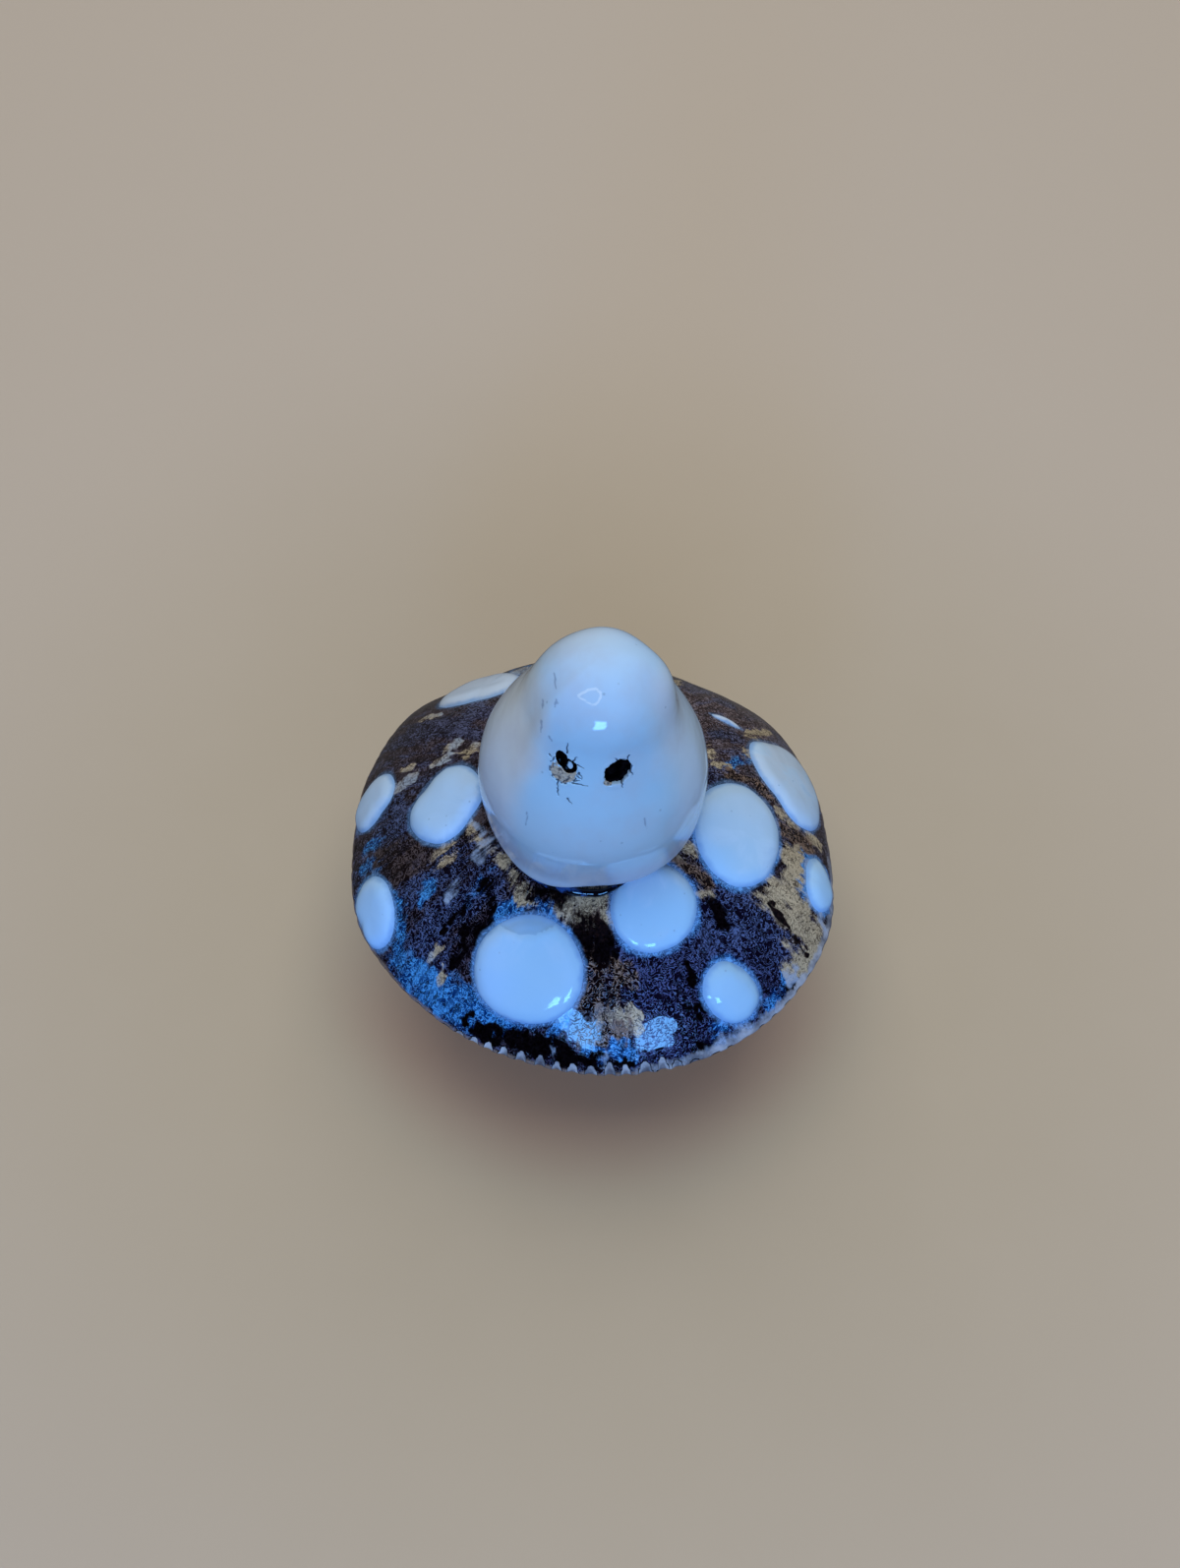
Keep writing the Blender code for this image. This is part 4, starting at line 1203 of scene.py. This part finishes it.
def light_studio():
    """Light the figurine from a soft ceiling, with a faint fill and two small blue windows in front."""
    world = bpy.data.worlds.new("studio")
    bpy.context.scene.world = world
    world.use_nodes = True
    nodes, links = world.node_tree.nodes, world.node_tree.links
    room = nodes["Background"]
    room.inputs["Color"].default_value = (1, 0.93, 0.94, 1)
    room.inputs["Strength"].default_value = 0.25
    # What the glaze mirrors: a pale wall behind the figurine, and a dark room in front of it
    wall = nodes.new("ShaderNodeBackground")
    wall.inputs["Color"].default_value = (1, 0.97, 0.95, 1)
    sight, split, fade = (nodes.new("ShaderNode" + kind) for kind in ("TexCoord", "SeparateXYZ", "MapRange"))
    links.new(sight.outputs["Generated"], split.inputs[0])
    links.new(split.outputs["Y"], fade.inputs["Value"])
    for name, value in (("From Min", -0.25), ("From Max", 0.5), ("To Min", 0.006), ("To Max", 0.08)):
        fade.inputs[name].default_value = value
    links.new(fade.outputs[0], wall.inputs["Strength"])
    rays, choose = nodes.new("ShaderNodeLightPath"), nodes.new("ShaderNodeMixShader")
    links.new(rays.outputs["Is Glossy Ray"], choose.inputs[0])
    links.new(room.outputs[0], choose.inputs[1])
    links.new(wall.outputs[0], choose.inputs[2])
    links.new(choose.outputs[0], nodes["World Output"].inputs["Surface"])
    add_lamp("ceiling", 180, 72, 0.9, (1.0, 1.0), 8.6, (1, 0.985, 0.96), in_glaze=False)
    add_lamp("front_fill", 8, 26, 0.9, (0.8, 0.5), 2.3, (0.82, 0.93, 1), in_glaze=False)
    window_blue = (0.14, 0.42, 1)
    add_lamp("window_left", -8, 14, 0.8, (0.17, 0.19), 2.6, window_blue)
    window = add_lamp("window_right", 18.5, 9.5, 0.8, (0.21, 0.19), 2.9, window_blue)
    light_only(window, [piece for piece in bpy.data.objects if piece.name.startswith(("cap", "dot", "foot"))])


def make_camera():
    lens = bpy.data.cameras.new("camera")
    lens.sensor_width = SENSOR_LONG_SIDE
    lens.lens = FOCAL_LENGTH_PIXELS * SENSOR_LONG_SIDE / PHOTO_HEIGHT
    lens.clip_start = 0.01
    lens.clip_end = 20
    camera = put("camera", lens)
    camera.location = CAMERA_PLACE
    camera.rotation_euler = (CAMERA_TILT, 0, 0)
    bpy.context.scene.camera = camera


def main():
    bpy.context.scene.view_settings.view_transform = "Standard"
    make_cap(cap_glaze())
    spots = spot_glaze()
    for name in SPOTS:
        make_spot(name, spots)
    make_ghost(ghost_glaze())
    eyes = eye_glaze()
    make_eye("left_eye", (LEFT_HOLE, LEFT_LOOP), -0.35, eyes)
    make_eye("right_eye", (RIGHT_EYE,), -0.25, eyes)
    make_bead(bead_glaze())
    make_stem(stem_glaze())
    make_floor()
    light_studio()
    make_camera()


main()
